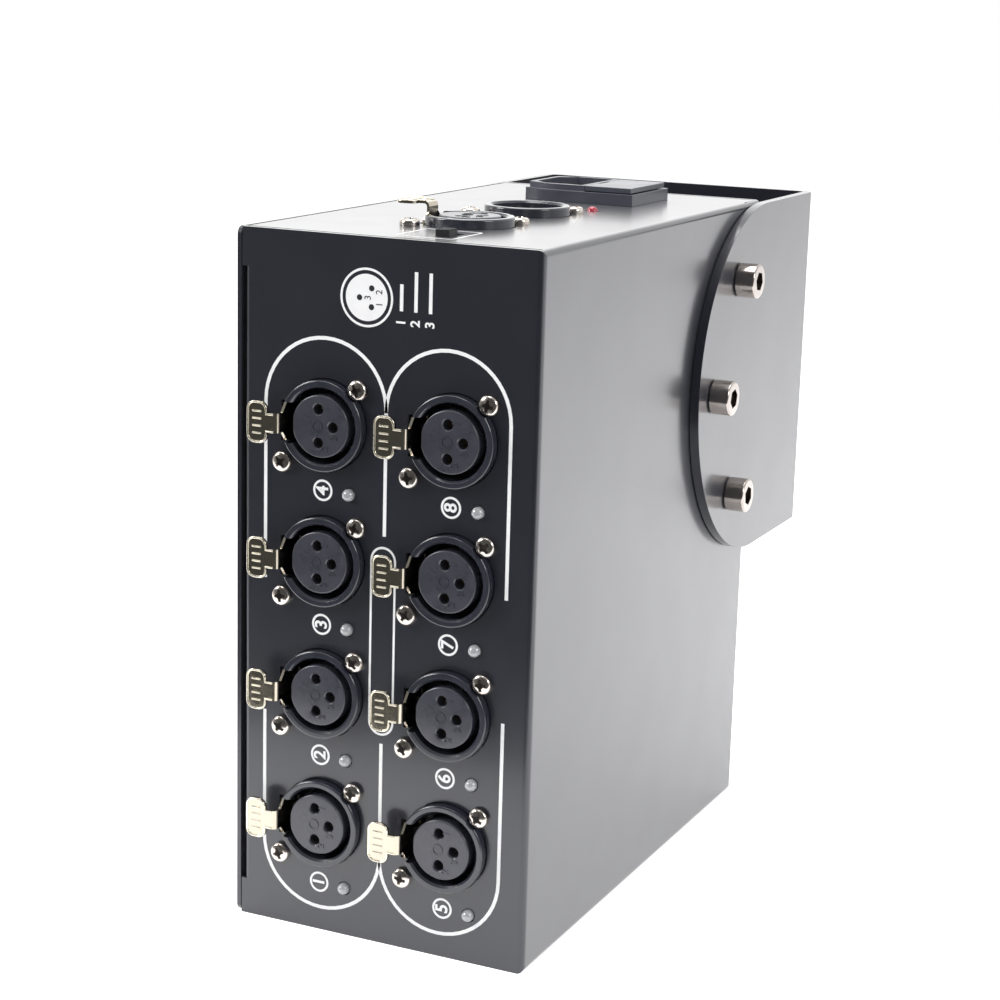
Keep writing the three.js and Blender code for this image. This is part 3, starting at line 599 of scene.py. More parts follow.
def piece(name, shape, place, look, body=CASE, stands_for=(), edge=0.0):
    """A finished piece, from a shape or a mesh that several share, that rides on a body of the frame."""
    mesh = shape if isinstance(shape, bpy.types.Mesh) else mesh_of(name, shape)
    obj = in_scene(name, mesh)
    if not mesh.materials:
        mesh.materials.append(look)
    matrix = place.copy()
    matrix.translation *= MM
    obj.matrix_world = matrix
    if edge:
        bevel = obj.modifiers.new("edges", "BEVEL")
        bevel.width = edge * MM
        bevel.segments = EDGE_SEGMENTS
        bevel.limit_method = "ANGLE"
        bevel.angle_limit = SMOOTH_ANGLE
        bevel.use_clamp_overlap = True
        normals = obj.modifiers.new("normals", "WEIGHTED_NORMAL")
        normals.keep_sharp = True
    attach(obj, body)
    if stands_for:
        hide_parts(*stands_for)


# Materials: each varies its colour and roughness with a broad noise and has a fine bump
NOISE_LOW = 0.3
NOISE_HIGH = 0.7
PATCH_DETAIL = 4
GRAIN_DETAIL = 3


def new_node(tree, kind, **inputs):
    """A node whose inputs named here, with underscores for spaces, have plain values."""
    made = tree.nodes.new(f"ShaderNode{kind}")
    for name, value in inputs.items():
        made.inputs[name.replace("_", " ")].default_value = value
    return made


def surface(name, colour, roughness, metallic=0.0, *, variation=0.12, roughness_spread=0.06,
            patch=12.0, grain=0.4, bump=0.02, coat=0.0, coat_roughness=0.1, sheen=0.0, ior=1.5,
            transmission=0.0):
    look = bpy.data.materials.new(name)
    look.use_nodes = True
    tree = look.node_tree
    link = tree.links.new
    shader = tree.nodes["Principled BSDF"]
    shader.inputs["Metallic"].default_value = metallic
    shader.inputs["IOR"].default_value = ior
    shader.inputs["Coat Weight"].default_value = coat
    shader.inputs["Coat Roughness"].default_value = coat_roughness
    shader.inputs["Sheen Weight"].default_value = sheen
    shader.inputs["Transmission Weight"].default_value = transmission
    place = new_node(tree, "TexCoord").outputs["Object"]
    patches = new_node(tree, "TexNoise", Scale=1 / (patch * MM), Detail=PATCH_DETAIL)
    link(place, patches.inputs["Vector"])
    tint = new_node(tree, "ValToRGB")
    low, high = tint.color_ramp.elements
    low.position, high.position = NOISE_LOW, NOISE_HIGH
    low.color = (*(c * (1 - variation) for c in colour), 1)
    high.color = (*(min(1, c * (1 + variation)) for c in colour), 1)
    link(patches.outputs["Fac"], tint.inputs["Fac"])
    link(tint.outputs["Color"], shader.inputs["Base Color"])
    gloss = new_node(tree, "MapRange", From_Min=NOISE_LOW, From_Max=NOISE_HIGH,
                     To_Min=roughness - roughness_spread, To_Max=roughness + roughness_spread)
    link(patches.outputs["Fac"], gloss.inputs["Value"])
    link(gloss.outputs["Result"], shader.inputs["Roughness"])
    fine = new_node(tree, "TexNoise", Scale=1 / (grain * MM), Detail=GRAIN_DETAIL)
    link(place, fine.inputs["Vector"])
    relief = new_node(tree, "Bump", Strength=1, Distance=bump * MM)
    link(fine.outputs["Fac"], relief.inputs["Height"])
    link(relief.outputs["Normal"], shader.inputs["Normal"])
    return look


powder_coat = surface("powder_coat", (0.013, 0.0145, 0.024), 0.34, variation=0.08, roughness_spread=0.02,
                      coat=1.0, coat_roughness=0.18, sheen=0.1, patch=20, grain=0.5, bump=0.01)
bracket_coat = surface("bracket_coat", (0.012, 0.013, 0.022), 0.34, variation=0.08, roughness_spread=0.02,
                       coat=0.9, coat_roughness=0.14, sheen=0.1, patch=24, grain=0.5, bump=0.01)
shell_plastic = surface("shell_plastic", (0.028, 0.03, 0.042), 0.2, patch=5, grain=0.22, bump=0.005,
                        coat=0.8, coat_roughness=0.12)
insert_plastic = surface("insert_plastic", (0.048, 0.049, 0.064), 0.3, patch=4, grain=0.2, bump=0.008,
                         coat=0.5, coat_roughness=0.2)
inlet_plastic = surface("inlet_plastic", (0.062, 0.066, 0.086), 0.34, patch=8, grain=0.3, bump=0.01,
                        coat=0.5, coat_roughness=0.2)
knob_plastic = surface("knob_plastic", (0.014, 0.014, 0.016), 0.5, patch=3, grain=0.2, bump=0.012)
nickel = surface("nickel", (0.74, 0.68, 0.62), 0.2, 1, variation=0.06, patch=2, grain=0.3, bump=0.006)
# Dark colour for the foot of the screw recesses: painted shade
recess_shade = surface("recess_shade", (0.03, 0.024, 0.02), 0.5, 0.4, patch=1, grain=0.2, bump=0.006)
gold_nickel = surface("gold_nickel", (0.58, 0.53, 0.43), 0.16, 1, variation=0.05, roughness_spread=0.04,
                      patch=4, grain=0.4, bump=0.004)
# A lighter copy of the latch metal for its raised rim and bars: painted highlight
painted_highlight_nickel = surface("painted_highlight_nickel", (0.88, 0.82, 0.68), 0.28, 1, variation=0.04, roughness_spread=0.04,
                        patch=3, grain=0.3, bump=0.004)
oxide_steel = surface("oxide_steel", (0.52, 0.47, 0.44), 0.16, 1, variation=0.1, roughness_spread=0.04,
                      patch=4, grain=0.25, bump=0.004)
brass = surface("brass", (0.70, 0.52, 0.26), 0.3, 1, patch=2, grain=0.3, bump=0.006)
clear_resin = surface("clear_resin", (0.56, 0.57, 0.6), 0.22, variation=0.08, patch=1.2, grain=0.5,
                      bump=0.004, coat=1.0, coat_roughness=0.08, ior=1.8, transmission=0.25)
red_resin = surface("red_resin", (0.5, 0.03, 0.06), 0.2, variation=0.08, patch=2, grain=0.5, bump=0.004,
                    coat=0.6, coat_roughness=0.08, transmission=0.2)
fuse_glass = surface("fuse_glass", (0.9, 0.94, 0.94), 0.05, variation=0.02, roughness_spread=0.02, patch=4,
                     bump=0.002, transmission=0.95)
white_ink = surface("white_ink", (0.96, 0.96, 0.97), 0.5, variation=0.03, patch=3, grain=0.15, bump=0.006)
black_ink = surface("black_ink", (0.02, 0.02, 0.022), 0.5, variation=0.1, patch=3, grain=0.15, bump=0.006)
solder_mask = surface("solder_mask", (0.015, 0.12, 0.05), 0.35, coat=0.3, patch=8, grain=0.4, bump=0.02)
varnished_core = surface("varnished_core", (0.22, 0.17, 0.09), 0.45, 0.3, variation=0.25, patch=6, bump=0.03)


# Holes that a round connector needs in its panel
def connector_holes(with_latch):
    holes = [rod(PANEL_BORE, THROUGH_PANEL)]
    for place in SCREW_OFFSETS:
        holes.append(rod(SCREW_RADIUS + HOLE_CLEARANCE, THROUGH_PANEL, SMALL_ROUND, place))
    if with_latch:
        holes.append(block((-PANEL_RELIEF, -SOCKET_BORE), (-CHANNEL_HALF, CHANNEL_HALF), THROUGH_PANEL))
    return holes


def lamp_hole():
    return rod(LAMP_RADIUS + HOLE_CLEARANCE, THROUGH_PANEL, SMALL_ROUND)


# Chassis, with round folds and holes
def tray_paths(low, high, flat_x):
    """Paths of the sheet seen edge on: one hooked, with return flanges, and one that stops flat at flat_x."""
    return_x = -HALF_WIDTH + LUG_STEP + SHEET / 2
    wall_x = HALF_WIDTH - SHEET / 2
    near, far = low + SHEET / 2, high - SHEET / 2
    hooked = [
        (return_x, low + RETURN_WIDTH),
        (return_x, near),
        (wall_x, near),
        (wall_x, far),
        (return_x, far),
        (return_x, high - RETURN_WIDTH),
    ]
    return hooked, [(flat_x, near), (wall_x, near), (wall_x, far), (flat_x, far)]


def tray_sheet(path, span):
    return prism(folded_sheet(path, SHEET, FOLD_INSIDE), span)


def box_walls():
    hooked, flat = tray_paths(-HALF_DEPTH, HALF_DEPTH, -HALF_WIDTH)
    lug = LUG_LENGTH - LUG_OVERLAP
    lower = tray_sheet(flat, (0, LUG_LENGTH))
    upper = tray_sheet(flat, (HEIGHT - LUG_LENGTH, HEIGHT))
    walls = united(tray_sheet(hooked, (lug, HEIGHT - lug)), lower, upper)
    radius = FOLD_INSIDE + SHEET
    quarter = math.pi / 2
    outline = [(-HALF_WIDTH - OVERRUN, 0.0)]
    outline += arc((HALF_WIDTH - radius, radius), radius, -quarter, 0)
    outline += arc((HALF_WIDTH - radius, HEIGHT - radius), radius, 0, quarter)
    outline.append((-HALF_WIDTH - OVERRUN, HEIGHT))
    return in_common(walls, along_y(prism(outline, (-HALF_DEPTH - OVERRUN, HALF_DEPTH + OVERRUN))))


def box_ends():
    hooked, flat = tray_paths(0, HEIGHT, -HALF_WIDTH + LUG_STEP)
    reach = HALF_DEPTH - SHEET - CORNER_SEAM
    hooked_reach = HALF_DEPTH - RETURN_WIDTH - CORNER_SEAM
    middle = tray_sheet(hooked, (-hooked_reach, hooked_reach))
    return along_y(united(middle, tray_sheet(flat, (-reach, reach))))


def press_nuts(side, x, wall):
    face = RIGHT if side == "left" else LEFT
    nuts = []
    for number in CAP_SCREWS:
        centre = centre_mm(f"bracket_screw_{side}_{number}")
        nut = hex_rod(PRESS_NUT_ACROSS, (-wall / 2, PRESS_NUT_HEIGHT))
        nuts.append(moved(nut, on(face, x, centre.y, centre.z)))
    return nuts


def screw_holes(nodes, radius, x_span):
    centres = [centre_mm(node) for node in nodes]
    return [along_x(rod(radius + HOLE_CLEARANCE, x_span, SMALL_ROUND, (c.y, c.z))) for c in centres]


def cap_holes(x_span):
    return screw_holes([f"bracket_screw_right_{number}" for number in CAP_SCREWS], CAP_SCREW_RADIUS, x_span)


def lid_holes(x_span):
    return screw_holes([f"lid_screw_{number}" for number in LID_SCREWS], SCREW_RADIUS, x_span)


def standoffs():
    low, high = box_mm("supply_board")
    places = [(x, z) for x in (low.x + STANDOFF_INSET, high.x - STANDOFF_INSET)
              for z in (low.z + STANDOFF_INSET, high.z - STANDOFF_INSET)]
    posts = []
    for x, z in places:
        post = rod(STANDOFF_RADIUS, (0, STANDOFF_HEIGHT + SHEET / 2), SMALL_ROUND)
        posts.append(moved(post, on(FRONT, x, HALF_DEPTH - SHEET / 2, z)))
    return posts


def chassis_shape():
    inner_x = HALF_WIDTH - SHEET
    body = united(box_walls(), box_ends(), *press_nuts("right", inner_x, SHEET), *standoffs())
    tools = []
    for number in OUTPUTS:
        tools += [moved(hole, on_front(f"output_insert_{number}")) for hole in connector_holes(True)]
        tools.append(moved(lamp_hole(), on_front(f"signal_lamp_{number}")))
    tools += [moved(hole, on_end("link_insert")) for hole in connector_holes(True)]
    tools += [moved(hole, on_end("input_insert")) for hole in connector_holes(False)]
    tools.append(moved(lamp_hole(), on_end("power_lamp")))
    tools.append(moved(inlet_body(INLET_BODY_INSET - HOLE_CLEARANCE, THROUGH_PANEL), inlet_place()))
    tools.append(knob_slot())
    tools += lid_holes((-HALF_WIDTH - OVERRUN, -HALF_WIDTH + SHEET + LUG_STEP + OVERRUN))
    tools += cap_holes((inner_x - PRESS_NUT_HEIGHT - OVERRUN, HALF_WIDTH + OVERRUN))
    return cut(body, *tools)


def lid_shape():
    outline = rounded_rectangle((-HALF_DEPTH, HALF_DEPTH), (0, HEIGHT), LID_CORNER)
    plate = along_x(prism(outline, (LID_OUTER, LID_INNER)))
    body = united(plate, *press_nuts("left", LID_INNER, LID_SHEET))
    through = (LID_OUTER - OVERRUN, LID_INNER + PRESS_NUT_HEIGHT + OVERRUN)
    return cut(body, *lid_holes(through), *cap_holes(through))


# Bracket: a U of thick sheet whose ears end in a half circle
def bracket_shape():
    right_x = bracket_high.x - BRACKET_SHEET / 2
    left_x = bracket_low.x + BRACKET_SHEET / 2
    rear_y = bracket_high.y - BRACKET_SHEET / 2
    radius = (bracket_high.z - bracket_low.z) / 2
    centre_y = HALF_DEPTH - BRACKET_CENTRE_FROM_REAR
    centre_z = (bracket_high.z + bracket_low.z) / 2
    front_y = centre_y - radius - OVERRUN
    path = [(right_x, front_y), (right_x, rear_y), (left_x, rear_y), (left_x, front_y)]
    folded = prism(folded_sheet(path, BRACKET_SHEET, BRACKET_FOLD_INSIDE), (bracket_low.z, bracket_high.z))
    ear = arc((centre_y, centre_z), radius, math.pi / 2, 1.5 * math.pi, EAR_STEPS)
    ear += [(bracket_high.y + OVERRUN, bracket_low.z), (bracket_high.y + OVERRUN, bracket_high.z)]
    across = (bracket_low.x - OVERRUN, bracket_high.x + OVERRUN)
    clamp = rod(CLAMP_HOLE_RADIUS, (-OVERRUN, BRACKET_SHEET + OVERRUN))
    clamp = moved(clamp, on(FRONT, (left_x + right_x) / 2, bracket_high.y, centre_z))
    return cut(in_common(folded, along_x(prism(ear, across))), clamp, *cap_holes(across))


# Screws
def cap_screw_shape():
    profile = [
        (0, -CAP_SCREW_LENGTH),
        (CAP_SCREW_RADIUS, -CAP_SCREW_LENGTH),
        (CAP_SCREW_RADIUS, 0),
        (CAP_HEAD_RADIUS - HOLE_CLEARANCE, 0),
        (CAP_HEAD_RADIUS, HOLE_CLEARANCE),
        *rounded_edge(CAP_HEAD_RADIUS, CAP_HEAD_HEIGHT, CAP_HEAD_ROUNDING),
        (0, CAP_HEAD_HEIGHT),
    ]
    key = hex_rod(HEX_KEY_ACROSS, (CAP_HEAD_HEIGHT - HEX_KEY_DEPTH, CAP_HEAD_HEIGHT + OVERRUN))
    return cut(lathe(profile, SCREW_ROUND), key)


def cross_screw_shape(radius, height, base, length):
    """A flat-topped pan head with a cross recess that narrows towards a round pit."""
    head = rounded_edge(radius, height - PAN_CROWN, PAN_ROUNDING, PAN_SHOULDER_TURN)
    shank = [(0, -length), (SCREW_RADIUS, -length), (SCREW_RADIUS, base), (radius, base)]
    body = lathe([*shank, *head, (0, height)], SCREW_ROUND)
    return cut(body, *cross_recess(height, height + OVERRUN, 0))


def cross_recess(head_height, top, gap):
    """The recess of a head from its foot to the height top, with all its sides moved in by gap."""
    foot_w = head_height - CROSS_DEPTH
    share = CROSS_FOOT_SHARE + (1 - CROSS_FOOT_SHARE) * (top - foot_w) / CROSS_DEPTH
    width = CROSS_WIDTH / 2 - gap
    reach, foot = CROSS_REACH * share - gap, CROSS_REACH * CROSS_FOOT_SHARE - gap
    pit, pit_foot = CROSS_PIT_RADIUS * share - gap, CROSS_PIT_RADIUS * CROSS_FOOT_SHARE - gap
    span = (foot_w, top)
    return [
        tapered((reach, width), (foot, width), span),
        tapered((width, reach), (width, foot), span),
        lathe([(0, foot_w), (pit_foot, foot_w), (pit, top), (0, top)], SMALL_ROUND),
    ]


def cross_recess_painted_shade(height):
    """Painted shade: a dark piece that fills the foot of the recess."""
    return group(cross_recess(height, height - CROSS_SHADE_DEPTH, CROSS_SHADE_GAP))


# Round connectors
def connector_shell(with_latch):
    front = -SHEET - SEAT_GAP
    above = RING_PROUD + OVERRUN
    edge = rounded_edge(RING_RADIUS, RING_PROUD, RING_ROUNDING)
    barrel = lathe([(0, -SHELL_DEPTH), (RING_RADIUS, -SHELL_DEPTH), *edge, (0, RING_PROUD)])
    plate = rounded_rectangle((-FLANGE_LEFT, FLANGE_RIGHT), about(0, 2 * FLANGE_HALF_HEIGHT), FLANGE_CORNER)
    solids = [prism(plate, (front - FLANGE_THICKNESS, front))]
    bore = [
        (0, -SHELL_DEPTH - OVERRUN),
        (SOCKET_BORE, -SHELL_DEPTH - OVERRUN),
        (SOCKET_BORE, RING_PROUD - RIM_CHAMFER),
        (RIM_RADIUS, RING_PROUD),
        (RIM_RADIUS, above),
        (0, above),
    ]
    tools = [lathe(bore)]
    through_flange = (front - FLANGE_THICKNESS - OVERRUN, front + OVERRUN)
    for place in SCREW_OFFSETS:
        tools.append(rod(SCREW_RADIUS, through_flange, SMALL_ROUND, place))
        tools.append(rod(PAN_RADIUS + PAN_CLEARANCE, (0, above), SMALL_ROUND, place))
    if with_latch:
        housing_half = CHANNEL_HALF + CHANNEL_WALL
        floor_level = -CHANNEL_DEPTH - CHANNEL_WALL
        housing = (-housing_half, housing_half)
        solids.append(block((-FLANGE_LEFT, -SOCKET_BORE), housing, (floor_level, front)))
        tools.append(block((-CHANNEL_OUTER, 0), (-CHANNEL_HALF, CHANNEL_HALF), (-CHANNEL_DEPTH, above)))
        tools.append(pivot_rod(LATCH_PIN_RADIUS + LATCH_PIN_CLEARANCE, housing_half + OVERRUN))
    return cut(united(barrel, *solids), *tools)


def pivot_rod(radius, reach):
    return along_y(rod(radius, (-reach, reach), SMALL_ROUND, (-LATCH_ARM, -LATCH_PIVOT_DEPTH)))


def solder_pins():
    span = (SEAT_GAP - BOARD_BEHIND_FACE, INSERT_FOOT / 2 - SHELL_DEPTH)
    return [rod(SOLDER_PIN_RADIUS, span, SMALL_ROUND, place) for place in CONTACT_OFFSETS]


def insert_foot():
    return rod(SOCKET_BORE - SEAT_GAP, (-SHELL_DEPTH, INSERT_FOOT - SHELL_DEPTH))


def at_contacts(make):
    """What make gives, once at each contact's place."""
    return [shifted(make(), *place) for place in CONTACT_OFFSETS]


def socket_insert():
    face = INSERT_PROUD
    edge = rounded_edge(INSERT_RADIUS, face, INSERT_ROUNDING)
    post = lathe([(0, -SHELL_DEPTH), (INSERT_RADIUS, -SHELL_DEPTH), *edge, (0, face)])
    hole = [
        (0, face - CONTACT_HOLE_DEPTH),
        (CONTACT_HOLE_RADIUS, face - CONTACT_HOLE_DEPTH),
        (CONTACT_HOLE_RADIUS, face - CONTACT_COUNTERSINK),
        (CONTACT_HOLE_RADIUS + CONTACT_COUNTERSINK + OVERRUN, face + OVERRUN),
        (0, face + OVERRUN),
    ]
    tools = at_contacts(lambda: lathe(hole, SMALL_ROUND))
    tools.append(block((-INSERT_RADIUS - OVERRUN, -INSERT_FLAT), (-INSERT_RADIUS, INSERT_RADIUS),
                       (INSERT_FOOT - SHELL_DEPTH, face + OVERRUN)))
    return united(cut(post, *tools), insert_foot(), *solder_pins())


def tube(outer, inner, span):
    low, high = span
    return cut(rod(outer, span, SMALL_ROUND), rod(inner, (low - OVERRUN, high + OVERRUN), SMALL_ROUND))


def socket_contacts():
    span = (INSERT_PROUD - CONTACT_HOLE_DEPTH + SEAT_GAP, INSERT_PROUD - CONTACT_TUBE_SETBACK)
    return group(at_contacts(lambda: tube(CONTACT_TUBE_RADIUS, CONTACT_TUBE_BORE, span)))


def mould_marks():
    """Pin numbers and a plain ring, raised from the insert's face."""
    face = INSERT_PROUD
    ring = tube(MOULD_MARK_RADIUS, MOULD_MARK_RADIUS - MOULD_MARK_WIDTH, (face, face + MOULD_MARK_HEIGHT))
    marks = [shifted(ring, MOULD_MARK_OFFSET, 0)]
    for i, ((x, y), (dx, dy)) in enumerate(zip(CONTACT_OFFSETS, PIN_NUMBER_OFFSETS)):
        figure = glyphs(str(i + 1), PIN_NUMBER_HEIGHT, MOULD_MARK_HEIGHT, face, PIN_NUMBER_WEIGHT)
        marks.append(shifted(figure, x + dx, y + dy))
    return group(marks)


def plug_insert():
    return united(insert_foot(), *solder_pins())


def plug_pins():
    tip = RING_PROUD - PLUG_PIN_SETBACK
    low = INSERT_FOOT / 2 - SHELL_DEPTH
    nose = rounded_edge(PLUG_PIN_RADIUS, tip, PLUG_PIN_RADIUS)[:-1]
    profile = [(0, low), (PLUG_PIN_RADIUS, low), *nose, (0, tip)]
    return group(at_contacts(lambda: lathe(profile, SMALL_ROUND)))


# Press latch: a folded lever with a thumb tab, two shoulders and a catch
LATCH_TAB_INNER = LATCH_TAB_REACH - LATCH_TAB_LENGTH
LATCH_TAB_MIDDLE = -LATCH_TAB_INNER - LATCH_TAB_LENGTH / 2


def latch_shape():
    level = LATCH_TAB_HEIGHT - LATCH_RIM_HEIGHT
    half = LATCH_NECK_WIDTH / 2
    path = [(-LATCH_ARM, -LATCH_LEG_DEPTH), (-LATCH_ARM, level), (LATCH_TAB_MIDDLE, level)]
    neck = along_y(prism(folded_sheet(path, LATCH_SHEET, LATCH_FOLD_INSIDE), (-half, half)))
    across, along = (-LATCH_TAB_REACH, -LATCH_TAB_INNER), about(0, LATCH_TAB_WIDTH)
    tab = prism(rounded_rectangle(across, along, LATCH_TAB_CORNER), about(level, LATCH_SHEET))
    wide = LATCH_SHOULDER_WIDTH / 2
    plate = [
        (half, LATCH_SHOULDER_START),
        (-half, LATCH_SHOULDER_START),
        (-wide, LATCH_SHOULDER_FULL),
        (-wide, -LATCH_SHOULDER_DEPTH),
        (wide, -LATCH_SHOULDER_DEPTH),
        (wide, LATCH_SHOULDER_FULL),
    ]
    shoulders = along_x(prism(plate, about(-LATCH_ARM, LATCH_SHEET)))
    wedge = [
        (-LATCH_ARM, -LATCH_CATCH_DEPTH),
        (-LATCH_ARM + LATCH_SHEET / 2 + LATCH_CATCH_REACH, -LATCH_CATCH_DEPTH),
        (-LATCH_ARM, -LATCH_CATCH_DEPTH + LATCH_CATCH_HEIGHT),
    ]
    catch = along_y(prism(wedge, (-half, half)))
    return united(neck, tab, shoulders, catch, pivot_rod(LATCH_PIN_RADIUS, CHANNEL_HALF + LATCH_PIN_REACH))


def latch_relief():
    """A round rim along the edges of the neck and the tab, and plain bars inside it."""
    field = LATCH_TAB_HEIGHT + LATCH_SHEET / 2 - LATCH_RIM_HEIGHT
    inset = LATCH_RIM_WIDTH / 2
    half = LATCH_TAB_WIDTH / 2 - inset
    neck = LATCH_NECK_WIDTH / 2 - inset
    fold = -LATCH_ARM - LATCH_FOLD_INSIDE
    edge = -LATCH_TAB_INNER - inset
    outline = rounded_rectangle((inset - LATCH_TAB_REACH, edge), (-half, half), LATCH_TAB_CORNER - inset)
    rim = [(fold, neck), (edge, neck), *outline, (edge, -neck), (fold, -neck)]
    relief = [bead(rim, LATCH_RIM_WIDTH, LATCH_RIM_HEIGHT, field)]
    for i in range(LATCH_GRIP_BARS):
        y = (i - (LATCH_GRIP_BARS - 1) / 2) * LATCH_GRIP_PITCH
        ends = [(x, y) for x in about(LATCH_TAB_MIDDLE, LATCH_GRIP_LENGTH)]
        relief.append(bead(ends, LATCH_GRIP_WIDTH, LATCH_RIM_HEIGHT, field))
    return group(relief)


def lamp_shape(proud):
    collar = -SHEET - SEAT_GAP
    foot = [(0, -LAMP_BODY), (LAMP_COLLAR_RADIUS, -LAMP_BODY), (LAMP_COLLAR_RADIUS, collar)]
    dome = rounded_edge(LAMP_RADIUS, proud, LAMP_RADIUS)[:-1]
    return lathe([*foot, (LAMP_RADIUS, collar), *dome, (0, proud)], SMALL_ROUND)


# Slide switch
def knob_slot():
    low, high = box_mm("switch_knob")
    across = (low.x - HOLE_CLEARANCE, high.x + HOLE_CLEARANCE)
    along = (low.y - HOLE_CLEARANCE, high.y + HOLE_CLEARANCE + SWITCH_TRAVEL)
    return block(across, along, (HEIGHT - SHEET - OVERRUN, HEIGHT + OVERRUN))


def knob_shape():
    low, high = box_mm("switch_knob")
    crown = high.z - KNOB_RIB_HEIGHT
    pitch = (high.y - low.y) / KNOB_RIBS
    shape = block((low.x, high.x), (low.y, high.y), (low.z, crown))
    ribs = []
    for i in range(KNOB_RIBS):
        start = low.y + i * pitch
        ribs.append(block((low.x, high.x), (start, start + pitch / 2), (crown - KNOB_RIB_HEIGHT, high.z)))
    return united(shape, *ribs)


# Mains inlet
def inlet_place():
    """The inlet's middle, where its mounting plate is centred."""
    low, high = box_mm("power_inlet")
    return on(END, high.x - INLET_LENGTH / 2, (low.y + high.y) / 2, HEIGHT)


def cut_rectangle(start, end, side, along, across):
    """A rectangle from start to end whose corners at its start are cut off by along and across."""
    return [
        (end, side),
        (start + along, side),
        (start, side - across),
        (start, across - side),
        (start + along, -side),
        (end, -side),
    ]


def inlet_tier(inset, along, across, span):
    end = INLET_LENGTH / 2 - inset
    return prism(cut_rectangle(-end, end, INLET_WIDTH / 2 - inset, along, across), span)


def inlet_body(inset, span):
    return inlet_tier(inset, INLET_BODY_CHAMFER, INLET_BODY_CHAMFER, span)


RECESS_START = -INLET_LENGTH / 2 + INLET_TIER_INSET + RECESS_WALL
RECESS_END = RECESS_START + RECESS_LENGTH
DRAWER_START = RECESS_END + RECESS_WALL
DRAWER_END = INLET_LENGTH / 2 - INLET_TIER_INSET
DRAWER_MIDDLE = (DRAWER_START + DRAWER_END - DRAWER_WALL) / 2


def inlet_shape():
    above = INLET_UPPER_TIER + OVERRUN
    taper = (INLET_TAPER_LENGTH, INLET_TAPER_WIDTH)
    lower = inlet_tier(0, *taper, (0, INLET_LOWER_TIER))
    upper = inlet_tier(INLET_TIER_INSET, *taper, (SEAT_GAP, INLET_UPPER_TIER))
    body = inlet_body(INLET_BODY_INSET, (-INLET_BODY_DEPTH, INLET_LOWER_TIER - SEAT_GAP))
    recess = cut_rectangle(RECESS_START, RECESS_END, RECESS_WIDTH / 2, RECESS_CHAMFER, RECESS_CHAMFER)
    bay_half = INLET_WIDTH / 2 - INLET_TIER_INSET - DRAWER_WALL
    tools = [
        prism(recess, (INLET_UPPER_TIER - RECESS_DEPTH, above)),
        block((DRAWER_START, DRAWER_END - DRAWER_WALL), (-bay_half, bay_half),
              (-DRAWER_DEPTH - SEAT_GAP, above)),
        block((DRAWER_START, INLET_LENGTH), (-INLET_WIDTH, INLET_WIDTH), (INLET_LOWER_TIER, above)),
    ]
    return cut(united(lower, upper, body), *tools)


def blade_places():
    middle = (RECESS_START + RECESS_END) / 2
    return (
        (middle - BLADE_OFFSET, 0.0, EARTH_SETBACK),
        (middle + BLADE_OFFSET, BLADE_SPACING, BLADE_SETBACK),
        (middle + BLADE_OFFSET, -BLADE_SPACING, BLADE_SETBACK),
    )


def blades():
    floor_level = INLET_UPPER_TIER - RECESS_DEPTH
    return group([
        block(about(x, BLADE_WIDTH), about(y, BLADE_THICKNESS), (floor_level, INLET_UPPER_TIER - setback))
        for x, y, setback in blade_places()
    ])


def terminals():
    span = (-INLET_BODY_DEPTH - TERMINAL_LENGTH, -INLET_BODY_DEPTH)
    places = blade_places()
    return group([block(about(x, TERMINAL_THICKNESS), about(y, TERMINAL_WIDTH), span) for x, y, _ in places])


def drawer_shape():
    start = DRAWER_START + SEAT_GAP
    half = INLET_WIDTH / 2 - INLET_TIER_INSET
    cover = block((start, DRAWER_END), (-half, half), (INLET_LOWER_TIER + SEAT_GAP, INLET_UPPER_TIER))
    half -= DRAWER_WALL + SEAT_GAP
    carrier = block((start, DRAWER_END - DRAWER_WALL - SEAT_GAP), (-half, half),
                    (-DRAWER_DEPTH, INLET_UPPER_TIER - SEAT_GAP))
    trough = FUSE_RADIUS + SEAT_GAP
    pocket = block((DRAWER_MIDDLE - trough, INLET_LENGTH), about(0, FUSE_LENGTH + 2 * SEAT_GAP),
                   about(-FUSE_DEPTH, 2 * trough))
    notch = block((DRAWER_START - OVERRUN, DRAWER_START + DRAWER_NOTCH_DEPTH), about(0, DRAWER_NOTCH_WIDTH),
                  (INLET_UPPER_TIER - DRAWER_NOTCH_DEPTH, INLET_UPPER_TIER + OVERRUN))
    return cut(united(cover, carrier), pocket, notch)


def fuse_glass_shape():
    reach = FUSE_LENGTH / 2 - FUSE_GLASS_SETBACK
    return along_y(tube(FUSE_RADIUS - FUSE_GLASS_INSET, FUSE_RADIUS - 2 * FUSE_GLASS_INSET, (-reach, reach)))


def fuse_metal_shape():
    half = FUSE_LENGTH / 2
    bore = FUSE_RADIUS - FUSE_GLASS_INSET
    caps = []
    for sign in (-1, 1):
        low, high = sorted((sign * half, sign * (half - FUSE_CAP_LENGTH)))
        wall = sign * (half - FUSE_CAP_WALL)
        inner = sorted((wall, sign * (half - FUSE_CAP_LENGTH - OVERRUN)))
        caps.append(cut(rod(FUSE_RADIUS, (low, high), SMALL_ROUND), rod(bore, inner, SMALL_ROUND)))
    wire = rod(FUSE_WIRE_RADIUS, (FUSE_CAP_WALL - half, half - FUSE_CAP_WALL), WIRE_ROUND)
    return along_y(group([*caps, wire]))


